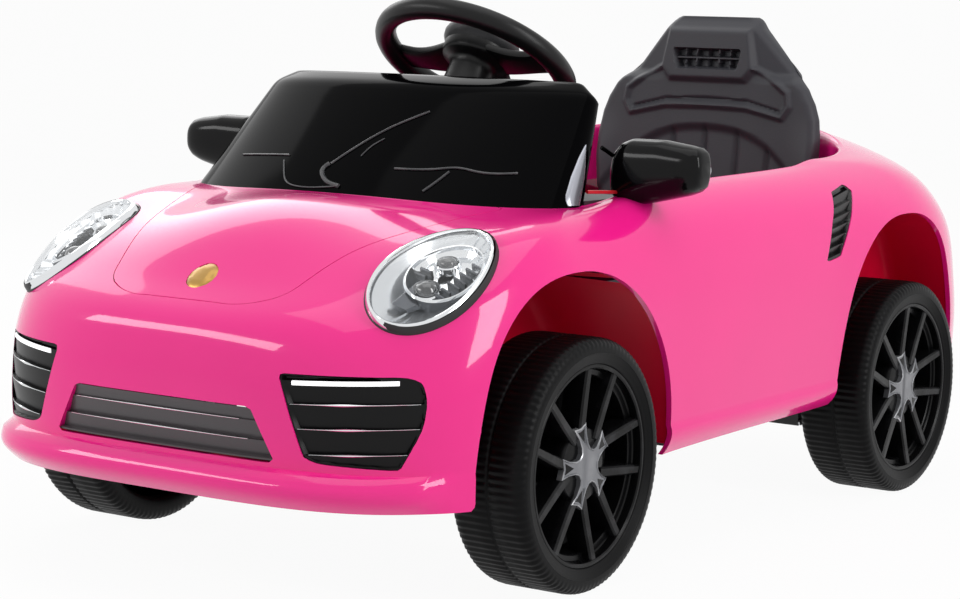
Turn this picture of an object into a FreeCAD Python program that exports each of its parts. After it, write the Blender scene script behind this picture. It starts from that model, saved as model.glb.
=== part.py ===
"""Child's electric ride-on sports car: a moulded shell on a plastic chassis tray, with
steered front wheels, one geared motor on the left rear wheel, a bucket seat and lamps.

Millimetres. +Z is up, the car faces -Y, its left side is +X, and the origin is on the
floor midway between the axles."""
import FreeCAD, Part
import math
import os
import re
import Sketcher

Vector = FreeCAD.Vector
X_AXIS = Vector(1, 0, 0)
Y_AXIS = Vector(0, 1, 0)
Z_AXIS = Vector(0, 0, 1)

DIMENSIONS = {
    # overall form of the shell
    "overall_length": 1024, "body_half_width": 240, "rear_flare": 8, "shell_wall": 4,
    "sill_drop": 8, "sill_tuck": 14, "sill_rise": 40, "waist_height": 205,
    "belt_height": 308, "belt_half_width": 207, "crown_height": 358,
    "lip_rise": 24, "lip_depth": 10, "nose_height": 190, "nose_rake": 4,
    "bonnet_edge_height": 238, "bonnet_edge_setback": 34, "bonnet_middle_setback": 105,
    "cowl_height": 298, "cowl_front_y": -304, "cockpit_front_y": -205,
    "cockpit_straight_y": 190, "cockpit_rear_y": 388, "cockpit_half_width": 196,
    "door_rise": 8, "haunch_height": 346, "haunch_y": 262, "haunch_run": 120, "haunch_foot_rise": 21,
    "deck_run": 120, "deck_drop": 26, "tail_height": 225, "tail_round": 34, "tail_round_rise": 40,
    "bow_half_width": 150, "front_bow": 18, "rear_bow": 12,
    "front_corner_y": -395, "rear_corner_y": 335,
    # wheels, axles and arches
    "wheel_radius": 100, "wheel_width": 68, "wheelbase": 562, "track_outer": 504,
    "rim_radius": 78, "rim_wall": 6, "hub_radius": 27, "hub_recess": 17, "spoke_depth": 10,
    "axle_radius": 6, "running_gap": 0.05, "face_gap": 0.3,
    "nut_radius": 10, "nut_height": 7.5, "cap_height": 12, "cap_arm_width": 12,
    "front_arch_radius": 143, "rear_arch_half_width": 127, "rear_arch_rise": 163,
    "front_house_inner": 125, "rear_house_inner": 162,
    "front_passage_half": 70, "front_passage_rise": 55,
    "rear_passage_front": 92, "rear_passage_rear": 48, "rear_passage_rise": 92,
    # chassis tray
    "floor_drop": 24, "floor_wall": 4, "neck_half_width": 112, "tray_front_y": -455,
    "tray_rear_y": 430, "footwell_front_y": -122, "footwell_rear_y": 138,
    "footwell_half_width": 150, "bearing_width": 22, "bearing_half_length": 20, "bearing_rise": 20,
    # steering
    "steer_y": -86, "steer_z": 409, "grip_ring_radius": 91, "grip_radius": 10,
    "column_radius": 5, "column_foot_rise": 5, "crank_rise": 12, "crank_pin_radius": 4,
    "kingpin_x": 150, "kingpin_radius": 4, "kingpin_end": 3, "ear_thickness": 6, "ear_reach": 15,
    "beam_depth": 27.4, "beam_web": 10, "beam_web_set": 32, "beam_screw_radius": 2.5,
    "knuckle_height": 27.4, "knuckle_side": 24, "arm_length": 38, "arm_width": 16, "arm_thickness": 5,
    "tie_rod_drop": 5, "tie_rod_thickness": 4, "tie_rod_width": 12, "tie_plate_side": 34,
    "linkage_gap": 0.6,
    "crank_slot_side": 3, "crank_slot_end": 5, "bracket_half_width": 40, "bracket_wall": 5,
    "bracket_depth": 48, "bracket_block": 12, "bracket_rise": 48, "bracket_set": 22,
    "boss_foot_radius": 18, "boss_depth": 60, "column_end": 16, "spoke_width": 30, "spoke_thickness": 9,
    "pad_radius": 42, "pad_height": 14, "pad_lift": 2,
    "horn_radius": 7, "horn_offset": 26, "horn_height": 9, "horn_travel": 2, "horn_proud": 1,
    # drive
    "gear_module": 1, "drive_teeth": 56, "idler_pinion_teeth": 14, "idler_teeth": 48,
    "motor_pinion_teeth": 12, "gear_train_angle": 135, "case_wall": 6, "case_inner_x": 118,
    "case_outer_x": 166, "case_gap": 3.2, "cover_thickness": 3, "cover_screw_radius": 1.5,
    "cover_screw_depth": 12, "idler_pin_radius": 3, "motor_radius": 18, "motor_length": 60,
    "motor_shaft_radius": 2, "drive_face": 10, "idler_face": 9,
    # seat, battery, dashboard and controls
    "seat_half_width": 118, "seat_front_y": 70, "seat_box_rear_y": 190, "seat_rise": 106,
    "seat_plate": 8, "seat_wall": 4, "backrest_y": 300, "backrest_tilt": 5,
    "backrest_thickness": 30, "backrest_height": 258,
    "battery_width": 96, "battery_length": 80, "battery_height": 78, "battery_set": 18,
    "terminal_radius": 4, "terminal_height": 8, "control_box_width": 48, "control_box_height": 38,
    "lead_radius": 3, "lead_x": 80, "lead_rise": 12, "lead_bend": 20,
    "socket_x": -70, "socket_rise": 50, "socket_radius": 7, "socket_bore": 3, "socket_depth": 14,
    "socket_flange": 3,
    "dash_half_width": 188, "dash_rear_y": -125, "dash_clearance": 4.2, "dash_wall": 3,
    "power_x": -62, "power_radius": 8, "power_travel": 3, "power_depth": 14, "power_proud": 4,
    "switch_x": -120, "switch_radius": 12, "switch_width": 20, "switch_set": 6, "paddle_width": 14,
    "paddle_thickness": 5, "paddle_reach": 12,
    "pedal_x": -69, "pedal_width": 57, "pedal_length": 78, "pedal_slope": 28, "pedal_thickness": 6,
    "pedal_pin_radius": 3, "pedal_rise": 13, "pedal_set": 12, "pedal_base": 4, "pedal_ear": 6,
    # trim let into the shell
    "trim_gap": 0.3, "trim_sink": 1, "trim_depth": 8,
    "lamp_half_length": 66, "lamp_half_width": 31, "lamp_rim": 5, "lamp_depth": 32,
    "badge_radius": 15, "badge_setback": 68,
    "screen_thickness": 3, "screen_top_z": 384, "screen_set": 14, "screen_bow": 76,
    "screen_lean": 62, "screen_top_bow": 46, "screen_taper": 26,
    "mirror_half_length": 43, "mirror_half_height": 22, "mirror_setback": 55, "mirror_out": 30,
    "mirror_rise": 25, "mirror_depth": 9, "mirror_edge": 3, "mirror_glass": 2.5, "mirror_stem_width": 10,
    "mirror_stem_length": 24,
}

doc = FreeCAD.newDocument("ride_on_car")
sheet = doc.addObject("Spreadsheet::Sheet", "Dims")
for row, (alias, number) in enumerate(DIMENSIONS.items(), start=1):
    sheet.set(f"A{row}", alias)
    sheet.set(f"B{row}", str(number))
    sheet.setAlias(f"B{row}", alias)
doc.recompute()

pieces = {}


def value(text):
    """The number that an expression on the sheet's sizes comes to."""
    result = sheet.evalExpression(str(text))
    return float(getattr(result, "Value", result))


def bound(text):
    """The same expression, as another object of the document writes it."""
    return re.sub(r"[a-z]\w*", lambda m: f"Dims.{m[0]}" if m[0] in DIMENSIONS else m[0], str(text))


def put(obj, x=0, y=0, z=0, axis=None, angle=None):
    """Bind an object's place, and its turn about an axis, to the sheet."""
    if axis:
        obj.Placement = FreeCAD.Placement(Vector(), FreeCAD.Rotation(axis, value(angle)))
        obj.setExpression("Placement.Rotation.Angle", bound(angle))
    for letter, text in zip("xyz", (x, y, z)):
        obj.setExpression(f"Placement.Base.{letter}", bound(text))
    return obj


def box(name, corner, sides):
    obj = doc.addObject("Part::Box", name)
    for side, text in zip(("Length", "Width", "Height"), sides):
        obj.setExpression(side, bound(text))
    return put(obj, *corner)


def rod(name, radius, length, start, along="Z"):
    """A cylinder from its start point along +X, +Y or +Z."""
    obj = doc.addObject("Part::Cylinder", name)
    obj.setExpression("Radius", bound(radius))
    obj.setExpression("Height", bound(length))
    turn = {"X": (Y_AXIS, 90), "Y": (Vector(-1, 0, 0), 90), "Z": (None, None)}[along]
    return put(obj, *start, *turn)


def fuse(name, *shapes):
    obj = doc.addObject("Part::MultiFuse", name)
    obj.Shapes = list(shapes)
    return obj


def cut(name, base, *tools):
    obj = doc.addObject("Part::Cut", name)
    obj.Base = base
    obj.Tool = tools[0] if len(tools) == 1 else fuse(name + "_tools", *tools)
    return obj


def common(name, first, second):
    obj = doc.addObject("Part::Common", name)
    obj.Base = first
    obj.Tool = second
    return obj


def group(name, *shapes):
    obj = doc.addObject("Part::Compound", name)
    obj.Links = list(shapes)
    return obj


def mirrored(name, source):
    """The same piece on the car's other side."""
    obj = doc.addObject("Part::Mirroring", name)
    obj.Source = source
    obj.Normal = X_AXIS
    return obj


def pair(name, source):
    """Left and right copies as two solids."""
    return group(name, source, mirrored(name + "_right", source))


def solid(name, shape):
    """A shape worked out from the sheet's sizes in code."""
    obj = doc.addObject("Part::Feature", name)
    obj.Shape = shape
    return obj


def prism(name, outline, normal, first, last):
    """An outline of (u, v) points on the plane at right angles to X or Y, pushed along it."""
    def point(u, v):
        return Vector(first, u, v) if normal == "X" else Vector(u, first, v)
    corners = [point(u, v) for u, v in outline]
    face = Part.Face(Part.makePolygon(corners + corners[:1]))
    push = (X_AXIS if normal == "X" else Y_AXIS) * (last - first)
    return solid(name, face.extrude(push))


def piece(name, obj):
    """Name a finished sub-part; the label is the file's name too."""
    obj.Label = name
    pieces[name] = obj
    return obj


def body_sketch(body, name, role):
    sketch = body.newObject("Sketcher::SketchObject", name)
    plane = next(f for f in body.Origin.OriginFeatures if f.Role == role)
    sketch.AttachmentSupport = [(plane, "")]
    sketch.MapMode = "FlatFace"
    return sketch


def polygon(sketch, corners):
    """A closed outline whose corners are bound to the sheet."""
    points = [Vector(value(u), value(v), 0) for u, v in corners]
    count = len(points)
    for i in range(count):
        sketch.addGeometry(Part.LineSegment(points[i], points[(i + 1) % count]))
    for i in range(count):
        sketch.addConstraint(Sketcher.Constraint("Coincident", i, 2, (i + 1) % count, 1))
    for i, pair_of_texts in enumerate(corners):
        for kind, text, axis in zip(("DistanceX", "DistanceY"), pair_of_texts, (-2, -1)):
            if value(text) == 0:
                sketch.addConstraint(Sketcher.Constraint("PointOnObject", i, 1, axis))
            else:
                index = sketch.addConstraint(Sketcher.Constraint(kind, -1, 1, i, 1, value(text)))
                sketch.setExpression(f"Constraints[{index}]", bound(text))


def revolved(name, corners):
    """A body turned about X from an outline of (x, radius) corners."""
    body = doc.addObject("PartDesign::Body", name)
    sketch = body_sketch(body, name + "_profile", "XY_Plane")
    polygon(sketch, corners)
    turn = body.newObject("PartDesign::Revolution", name + "_turn")
    turn.Profile = sketch
    turn.ReferenceAxis = (next(f for f in body.Origin.OriginFeatures if f.Role == "X_Axis"), [""])
    turn.Angle = 360
    return body


# Heights and places that several pieces take their own from
AXLE_Z = "wheel_radius"
FRONT_AXLE_Y = "-wheelbase/2"
REAR_AXLE_Y = "wheelbase/2"
WHEEL_OUT = "track_outer/2"
WHEEL_IN = "(track_outer/2 - wheel_width)"
SILL_Z = "(wheel_radius - sill_drop)"
LIP_Z = f"({SILL_Z} + lip_rise)"
FLOOR_Z = "(wheel_radius - floor_drop)"
FLOOR_TOP = f"({FLOOR_Z} + floor_wall)"
SEAT_Z = f"({FLOOR_TOP} + seat_rise)"
COLUMN_FOOT_Z = "(wheel_radius + column_foot_rise)"
CRANK_Z = "(wheel_radius + crank_rise)"
TIE_Z = "(wheel_radius - tie_rod_drop)"

# The shell's outer form: what a side view, a plan and a cross-section have in common.
# An inset moves every wall of it inwards, and the foot down so that the shell is open.
HALF_LENGTH = value("overall_length/2")


def side_face(inset):
    foot = value(SILL_Z) - 3 * inset
    front = -HALF_LENGTH + inset
    rear = HALF_LENGTH - inset
    # the plan cuts the ends, so the side view runs past them at the foot
    past = 20
    lip = value("lip_depth")
    cowl = value("cowl_height") - inset
    haunch = value("haunch_height") - inset
    cowl_front = Vector(0, value("cowl_front_y") + inset, cowl)
    cowl_rear = Vector(0, value("cockpit_front_y") + 30, cowl)
    nose = Vector(0, front + lip, value(LIP_Z) + lip - inset)
    bonnet = Part.BSplineCurve()
    bonnet.interpolate([
        nose,
        Vector(0, front + lip + value("nose_rake"), value("nose_height") - inset),
        Vector(0, front + lip + value("bonnet_edge_setback"), value("bonnet_edge_height") - inset),
        Vector(0, front + lip + value("bonnet_middle_setback"),
               value("(bonnet_edge_height + cowl_height)/2") - inset),
        cowl_front])
    tail = Vector(0, rear + past / 4, value("tail_height") * 0.7)
    deck = Part.BSplineCurve()
    deck.interpolate([
        cowl_rear,
        Vector(0, 0, cowl + value("door_rise")),
        Vector(0, value("haunch_y - haunch_run"), cowl + value("haunch_foot_rise")),
        Vector(0, value("haunch_y"), haunch),
        Vector(0, rear - value("deck_run"), haunch - value("deck_drop")),
        Vector(0, rear - value("tail_round"), value("tail_height + tail_round_rise") - inset),
        tail])
    lip_top = Vector(0, front - past, value(LIP_Z) - inset)
    lip_foot = Vector(0, front - past, foot)
    tail_foot = Vector(0, rear + past, foot)
    edges = [Part.LineSegment(lip_foot, lip_top), Part.LineSegment(lip_top, nose), bonnet,
             Part.LineSegment(cowl_front, cowl_rear), deck,
             Part.LineSegment(tail, tail_foot), Part.LineSegment(tail_foot, lip_foot)]
    return Part.Face(Part.Wire([edge.toShape() for edge in edges]))


def plan_face(inset):
    def half(side):
        """One side of the plan, front to rear, on the side given by +1 or -1."""
        wide = value("body_half_width") - inset
        flared = wide + value("rear_flare")
        bow = value("bow_half_width") - inset / 2
        front = -HALF_LENGTH + inset + value("front_bow")
        rear = HALF_LENGTH - inset - value("rear_bow")
        corner_front = value("front_corner_y")
        corner_rear = value("rear_corner_y")
        diagonal = math.sqrt(0.5)
        points = [Vector(side * bow, front, 0),
                  Vector(side * (bow + (wide - bow) * diagonal),
                         corner_front + (front - corner_front) * diagonal, 0),
                  Vector(side * wide, corner_front, 0),
                  Vector(side * wide, value("footwell_rear_y"), 0),
                  Vector(side * flared, value("wheelbase/2"), 0),
                  Vector(side * flared, corner_rear, 0),
                  Vector(side * (bow + (flared - bow) * diagonal),
                         corner_rear + (rear - corner_rear) * diagonal, 0),
                  Vector(side * bow, rear, 0)]
        return points, [Part.Arc(*points[0:3]), Part.LineSegment(points[2], points[3]),
                        Part.LineSegment(points[3], points[4]),
                        Part.LineSegment(points[4], points[5]), Part.Arc(*points[5:8])]
    left, left_edges = half(1)
    right, right_edges = half(-1)
    front = Part.Arc(right[0], Vector(0, -HALF_LENGTH + inset, 0), left[0])
    rear = Part.Arc(left[-1], Vector(0, HALF_LENGTH - inset, 0), right[-1])
    edges = [front] + left_edges + [rear] + right_edges
    return Part.Face(Part.Wire(Part.__sortEdges__([edge.toShape() for edge in edges])))


def section_face(inset):
    foot = value(SILL_Z) - 3 * inset
    # wider than the plan at the waist, so that the plan alone sets the upright sides
    wide = value("body_half_width + rear_flare") + 9 - inset
    sill = value("body_half_width - sill_tuck") - inset
    belt = Vector(value("belt_half_width") - inset, 0, value("belt_height") - inset)
    waist = Vector(wide, 0, value("waist_height"))
    crown = Vector(0, 0, value("crown_height") - inset)

    def other(point):
        return Vector(-point.x, 0, point.z)
    bulge = Vector((wide + belt.x) / 2 + 9, 0, (waist.z + belt.z) / 2 + 3)
    sill_top = Vector(wide, 0, value(f"{SILL_Z} + sill_rise"))
    slope = (wide - sill) / value("sill_rise")
    sill_foot = Vector(sill - slope * (value(SILL_Z) - foot), 0, foot)
    edges = [Part.Arc(belt, crown, other(belt))]
    for side in (lambda p: p, other):
        edges += [Part.LineSegment(side(sill_foot), side(sill_top)),
                  Part.LineSegment(side(sill_top), side(waist)),
                  Part.Arc(side(waist), side(bulge), side(belt))]
    edges.append(Part.LineSegment(other(sill_foot), sill_foot))
    return Part.Face(Part.Wire(Part.__sortEdges__([edge.toShape() for edge in edges])))


def body_form(name, inset_text):
    """The shell's solid form with every wall moved in by an inset."""
    inset = value(inset_text)
    reach = 2 * HALF_LENGTH
    side = side_face(inset)
    side.translate(Vector(-HALF_LENGTH, 0, 0))
    section = section_face(inset)
    section.translate(Vector(0, -HALF_LENGTH, 0))
    form = side.extrude(X_AXIS * reach).common(plan_face(inset).extrude(Z_AXIS * HALF_LENGTH))
    return solid(name, form.common(section.extrude(Y_AXIS * reach)))


outer_form = body_form("outer_form", "0")
inner_form = body_form("inner_form", "shell_wall")
trim_front = body_form("trim_front", "trim_sink")
trim_back = body_form("trim_back", "trim_depth")
trim_layer = cut("trim_layer", trim_front, trim_back)


# Wheel houses: arched walls inside the shell over each wheel
def ellipse_bar(name, across, rise, start, length):
    """An upright elliptical bar along +X, centred on an axle's line."""
    curve = doc.addObject("Part::Ellipse", name + "_curve")
    curve.setExpression("MajorRadius", bound(rise))
    curve.setExpression("MinorRadius", bound(across))
    bar = doc.addObject("Part::Extrusion", name)
    bar.Base = curve
    bar.DirMode = "Normal"
    bar.setExpression("LengthFwd", bound(length))
    bar.Solid = True
    # the ellipse's own long axis turns from X to Z, and its normal from Z to X
    bar.Placement = FreeCAD.Placement(Vector(), FreeCAD.Rotation(Y_AXIS, -90))
    return put(bar, *start)


HOUSE_REACH = "(body_half_width + rear_flare)"
front_house_solid = rod("front_house_solid", "front_arch_radius + shell_wall", HOUSE_REACH,
                        ("front_house_inner - shell_wall", FRONT_AXLE_Y, AXLE_Z), "X")
front_house_space = rod("front_house_space", "front_arch_radius", HOUSE_REACH,
                        ("front_house_inner", FRONT_AXLE_Y, AXLE_Z), "X")
rear_house_solid = ellipse_bar("rear_house_solid", "rear_arch_half_width + shell_wall",
                               "rear_arch_rise + shell_wall",
                               (f"rear_house_inner - shell_wall + {HOUSE_REACH}", REAR_AXLE_Y, AXLE_Z),
                               HOUSE_REACH)
rear_house_space = ellipse_bar("rear_house_space", "rear_arch_half_width", "rear_arch_rise",
                               (f"rear_house_inner + {HOUSE_REACH}", REAR_AXLE_Y, AXLE_Z), HOUSE_REACH)
left_houses = fuse("left_houses", front_house_solid, rear_house_solid)
houses = common("houses", fuse("all_houses", left_houses, mirrored("right_houses", left_houses)),
                outer_form)
# the axles and the gearbox pass through the houses' inner walls
front_passage = box("front_passage", ("-front_house_inner", "-wheelbase/2 - front_passage_half", 0),
                    ("front_house_inner*2", "2*front_passage_half", "wheel_radius + front_passage_rise"))
rear_passage = box("rear_passage", ("-rear_house_inner", "wheelbase/2 - rear_passage_front", 0),
                   ("rear_house_inner*2", "rear_passage_front + rear_passage_rear",
                    "wheel_radius + rear_passage_rise"))
left_spaces = fuse("left_spaces", front_house_space, rear_house_space)
wheel_spaces = fuse("wheel_spaces", left_spaces, mirrored("right_spaces", left_spaces),
                    front_passage, rear_passage)

# Cockpit opening: straight sides, then a half oval behind the seat
OPENING_Z = "rear_arch_rise + wheel_radius + shell_wall + 2"
cockpit_straight = box("cockpit_straight", ("-cockpit_half_width", "cockpit_front_y", OPENING_Z),
                       ("cockpit_half_width*2", "cockpit_straight_y - cockpit_front_y", 200))
cockpit_curve = doc.addObject("Part::Ellipse", "cockpit_curve")
cockpit_curve.setExpression("MajorRadius", bound("cockpit_rear_y - cockpit_straight_y + 4"))
cockpit_curve.setExpression("MinorRadius", bound("cockpit_half_width"))
cockpit_round = doc.addObject("Part::Extrusion", "cockpit_round")
cockpit_round.Base = cockpit_curve
cockpit_round.DirMode = "Normal"
cockpit_round.LengthFwd = 200
cockpit_round.Solid = True
cockpit_round.Placement = FreeCAD.Placement(Vector(), FreeCAD.Rotation(Z_AXIS, 90))
put(cockpit_round, 0, "cockpit_straight_y - 4", OPENING_Z)

# Trim let into the shell: each outline cuts the shell, and the trim fills it less a gap
TRIM_PAST = 5
TRIM_REACH = 45
NOSE_FROM = -HALF_LENGTH - TRIM_PAST
NOSE_TO = value("front_corner_y") + TRIM_REACH
TAIL_FROM = value("rear_corner_y") + TRIM_REACH
TAIL_TO = HALF_LENGTH + TRIM_PAST
SIDE_FROM = value("body_half_width") - TRIM_REACH
SIDE_TO = value("body_half_width + rear_flare") + TRIM_PAST


def shrunk(outline, gap):
    """An outline drawn in towards its middle by a gap."""
    middle_u = sum(u for u, v in outline) / len(outline)
    middle_v = sum(v for u, v in outline) / len(outline)
    moved = []
    for u, v in outline:
        reach = math.hypot(u - middle_u, v - middle_v)
        share = (reach - 1.5 * gap) / reach
        moved.append((middle_u + (u - middle_u) * share, middle_v + (v - middle_v) * share))
    return moved


# outlines as (across, height) on the nose and tail, with heights over the sill or the
# tail's foot, and as (along, height) on the side
sill = value(SILL_Z)
tail = value("tail_height")
TRIM = {
    "lower_grille": ([(-109, sill + 21), (109, sill + 21), (87, sill + 62), (-87, sill + 62)],
                     "Y", NOSE_FROM, NOSE_TO),
    "fog_grille": ([(134, sill + 27), (184, sill + 20), (208, sill + 50), (205, sill + 76),
                    (114, sill + 76)], "Y", NOSE_FROM, NOSE_TO),
    "day_lamp": ([(113, sill + 77), (205, sill + 77), (203, sill + 87), (110, sill + 87)],
                 "Y", NOSE_FROM, NOSE_TO),
    "side_vent": ([(120, 230), (148, 234), (165, 290), (146, 298), (123, 290)], "X", SIDE_FROM, SIDE_TO),
    "tail_lamp": ([(105, tail - 11), (214, tail - 20), (210, tail + 21), (112, tail + 25)],
                  "Y", TAIL_FROM, TAIL_TO),
    "rear_valance": ([(-140, sill + 12), (140, sill + 12), (122, sill + 50), (-122, sill + 50)],
                     "Y", TAIL_FROM, TAIL_TO),
}
trim_cuts = {}
trim_fills = {}
for name, (outline, normal, first, last) in TRIM.items():
    trim_cuts[name] = prism(name + "_cut", outline, normal, first, last)
    fill = prism(name + "_fill", shrunk(outline, value("trim_gap")), normal, first, last)
    trim_fills[name] = common(name + "_trim", trim_layer, fill)

# Head lamps: oval units along an axis that leans forward, up and outward
lamp_normal = Vector(0.43, -0.45, 0.78).normalize()
lamp_across = lamp_normal.cross(Vector(0.20, 0.90, 0.385)).normalize()
lamp_along = lamp_across.cross(lamp_normal)
LAMP_SETBACK = 114
LAMP_RISE = 18
LAMP_X = 178
LAMP_BAR = 140
lamp_centre = Vector(LAMP_X, LAMP_SETBACK - HALF_LENGTH, value("bonnet_edge_height") + LAMP_RISE)


def lamp_bar(name, inset_text):
    """An oval bar along the lamp's axis, narrower than the shell's hole by an inset."""
    curve = doc.addObject("Part::Ellipse", name + "_curve")
    curve.setExpression("MajorRadius", bound(f"lamp_half_length - {inset_text}"))
    curve.setExpression("MinorRadius", bound(f"lamp_half_width - {inset_text}"))
    bar = doc.addObject("Part::Extrusion", name)
    bar.Base = curve
    bar.DirMode = "Normal"
    bar.LengthFwd = LAMP_BAR
    bar.Solid = True
    turn = FreeCAD.Rotation(lamp_along, lamp_across * -1, lamp_normal, "ZXY")
    bar.Placement = FreeCAD.Placement(lamp_centre - lamp_normal * (LAMP_BAR / 2), turn)
    return bar


lamp_hole = lamp_bar("lamp_hole", "0")
BADGE_START = (0, "badge_setback - overall_length/2", "nose_height - 40")
BADGE_REACH = "cowl_height - nose_height + 40"
badge_hole = rod("badge_hole", "badge_radius", BADGE_REACH, BADGE_START)
shell_skin = cut("shell_skin", outer_form, inner_form)
shell_walls = fuse("shell_walls", shell_skin, houses)
CENTRE_TRIM = ("lower_grille", "rear_valance")
left_cuts = fuse("left_cuts", lamp_hole, *[c for n, c in trim_cuts.items() if n not in CENTRE_TRIM])
centre_cuts = [trim_cuts[n] for n in CENTRE_TRIM]
badge_layer = cut("badge_layer", outer_form, body_form("badge_floor", "shell_wall/2"))
badge_seat = common("badge_seat", badge_layer, badge_hole)
piece("body_shell", cut("shell", shell_walls, wheel_spaces, cockpit_straight, cockpit_round,
                        left_cuts, mirrored("right_cuts", left_cuts), *centre_cuts, badge_seat))
badge_disc = rod("badge_disc", "badge_radius - trim_gap", BADGE_REACH, BADGE_START)
piece("nose_badge", common("badge", badge_layer, badge_disc))
piece("lower_grille", trim_fills["lower_grille"])
piece("fog_grilles", pair("fog_grille_pair", trim_fills["fog_grille"]))
piece("day_lamps", pair("day_lamp_pair", trim_fills["day_lamp"]))
piece("side_vents", pair("side_vent_pair", trim_fills["side_vent"]))
piece("tail_lamps", pair("tail_lamp_pair", trim_fills["tail_lamp"]))
piece("rear_valance", trim_fills["rear_valance"])

# Each head lamp is a cup, a rim that holds the lens in the shell, and the lens
lamp_full = lamp_bar("lamp_full", "trim_gap")
lamp_inside = lamp_bar("lamp_inside", "lamp_rim")
lamp_lens_bar = lamp_bar("lamp_lens_bar", "(lamp_rim + trim_gap)")
lens_back = body_form("lens_back", "trim_sink + 2.5")
cup_back = body_form("cup_back", "lamp_depth")
cup_floor = body_form("cup_floor", "lamp_depth - 3")
rim_layer = cut("rim_layer", outer_form, trim_back)
cup_layer = cut("cup_layer", trim_back, cup_back)
cup_space = cut("cup_space", outer_form, cup_floor)
lens_layer = cut("lens_layer", trim_front, lens_back)
lamp_ring = cut("lamp_ring", lamp_full, lamp_inside)
rim_left = common("lamp_rim_left", rim_layer, lamp_ring)
cup_left = cut("lamp_cup_left", common("lamp_cup_block", cup_layer, lamp_full),
               common("lamp_cup_space", cup_space, lamp_inside))
lens_left = common("lamp_lens_left", lens_layer, lamp_lens_bar)
piece("headlamp_rims", pair("headlamp_rim_pair", rim_left))
piece("headlamp_cups", pair("headlamp_cup_pair", cup_left))
piece("headlamp_lenses", pair("headlamp_lens_pair", lens_left))

# Windscreen: a bowed panel that stands on the cowl and leans back
def screen_wire(height, half_width, end_y, middle_y, thickness):
    end = Vector(half_width, end_y, height)
    far_end = Vector(-half_width, end_y, height)
    inner_end = end + Vector(-thickness, thickness, 0)
    inner_far = far_end + Vector(thickness, thickness, 0)
    outer = Part.Arc(end, Vector(0, middle_y, height), far_end)
    inner = Part.Arc(inner_far, Vector(0, middle_y + thickness, height), inner_end)
    return Part.Wire([outer.toShape(), Part.LineSegment(far_end, inner_far).toShape(),
                      inner.toShape(), Part.LineSegment(inner_end, end).toShape()])


screen_foot_y = value("cockpit_front_y - screen_set")
screen_top_y = screen_foot_y + value("screen_lean")
screen_foot = screen_wire(value("cowl_height"), value("dash_half_width"), screen_foot_y,
                          screen_foot_y - value("screen_bow"), value("screen_thickness"))
screen_top = screen_wire(value("screen_top_z"), value("dash_half_width - screen_taper"), screen_top_y,
                         screen_top_y - value("screen_top_bow"), value("screen_thickness"))
piece("windscreen", solid("screen", Part.makeLoft([screen_foot, screen_top], True, True)))

# Door mirrors: a shell on a foot that stands on the belt line, and its glass
MIRROR_X = "(cockpit_half_width + mirror_out)"
MIRROR_Y = "(cockpit_front_y + mirror_setback)"
MIRROR_Z = "(cowl_height + mirror_rise)"
EGG_STATIONS = (0.92, 0.75, 0.5, 0.25)


def mirror_oval(inset, y, share=1):
    """An upright oval wire, smaller than the mirror's outline by an inset or a share of it."""
    oval = Part.Ellipse(Vector(), (value("mirror_half_length") - inset) * share,
                        (value("mirror_half_height") - inset) * share).toShape()
    oval.rotate(Vector(), X_AXIS, 90)
    oval.translate(Vector(value(MIRROR_X), y, value(MIRROR_Z)))
    return Part.Wire([oval])


mirror_y = value(MIRROR_Y)
mirror_glass_y = mirror_y + value("mirror_depth")
mirror_back_y = mirror_glass_y + value("mirror_glass")
egg_wires = [mirror_oval(0, mirror_y - value("mirror_half_height") * t, math.sqrt(1 - t * t))
             for t in EGG_STATIONS]
mirror_egg = solid("mirror_egg", Part.makeLoft(
    egg_wires + [mirror_oval(0, mirror_y), mirror_oval(0, mirror_back_y)], True, True))
mirror_edge = value("mirror_edge")
glass_recess = solid("glass_recess", Part.makeLoft(
    [mirror_oval(mirror_edge, mirror_glass_y), mirror_oval(mirror_edge, mirror_back_y + 1)], True, True))
glass_inset = mirror_edge + value("trim_gap")
glass_plate = solid("glass_plate", Part.makeLoft(
    [mirror_oval(glass_inset, mirror_glass_y), mirror_oval(glass_inset, mirror_back_y)], True, True))
STEM_FOOT = "belt_height - 38"
STEM_FRONT = f"{MIRROR_Y} - mirror_stem_length/2 - 2"
mirror_stem = box("mirror_stem", ("cockpit_half_width + trim_gap", STEM_FRONT, STEM_FOOT),
                  ("mirror_stem_width", "mirror_stem_length", f"{MIRROR_Z} - ({STEM_FOOT})"))
mirror_foot = cut("mirror_foot", mirror_stem, outer_form)
mirror_left = cut("mirror_shell", fuse("mirror_whole", mirror_egg, mirror_foot), glass_recess)
piece("mirror_left", mirror_left)
piece("mirror_right", mirrored("mirror_shell_right", mirror_left))
piece("mirror_glasses", pair("mirror_glass_pair", glass_plate))

# Chassis tray: a floor with a sunk footwell, narrow between the wheels, whose side
# shelves reach out to the foot of the shell
SILL_INNER = "(body_half_width - sill_tuck - shell_wall - face_gap)"
FOOTWELL_LENGTH = "(footwell_rear_y - footwell_front_y)"
footwell = box("footwell", ("-footwell_half_width", "footwell_front_y", FLOOR_Z),
               ("2*footwell_half_width", FOOTWELL_LENGTH, "floor_wall"))
neck = box("neck", ("-neck_half_width", "tray_front_y", FLOOR_Z),
           ("2*neck_half_width", "tray_rear_y - tray_front_y", "floor_wall"))
riser = box("riser", ("footwell_half_width - floor_wall", "footwell_front_y", FLOOR_Z),
            ("floor_wall", FOOTWELL_LENGTH, f"{SILL_Z} - {FLOOR_Z} + floor_wall"))
shelf = box("shelf", ("footwell_half_width - floor_wall", "footwell_front_y", SILL_Z),
            (f"{SILL_INNER} - footwell_half_width + floor_wall", FOOTWELL_LENGTH, "floor_wall"))
neck_lip = box("neck_lip", ("neck_half_width - floor_wall", "tray_front_y", FLOOR_Z),
               ("floor_wall", "footwell_front_y - tray_front_y", "floor_wall*3"))
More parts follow.
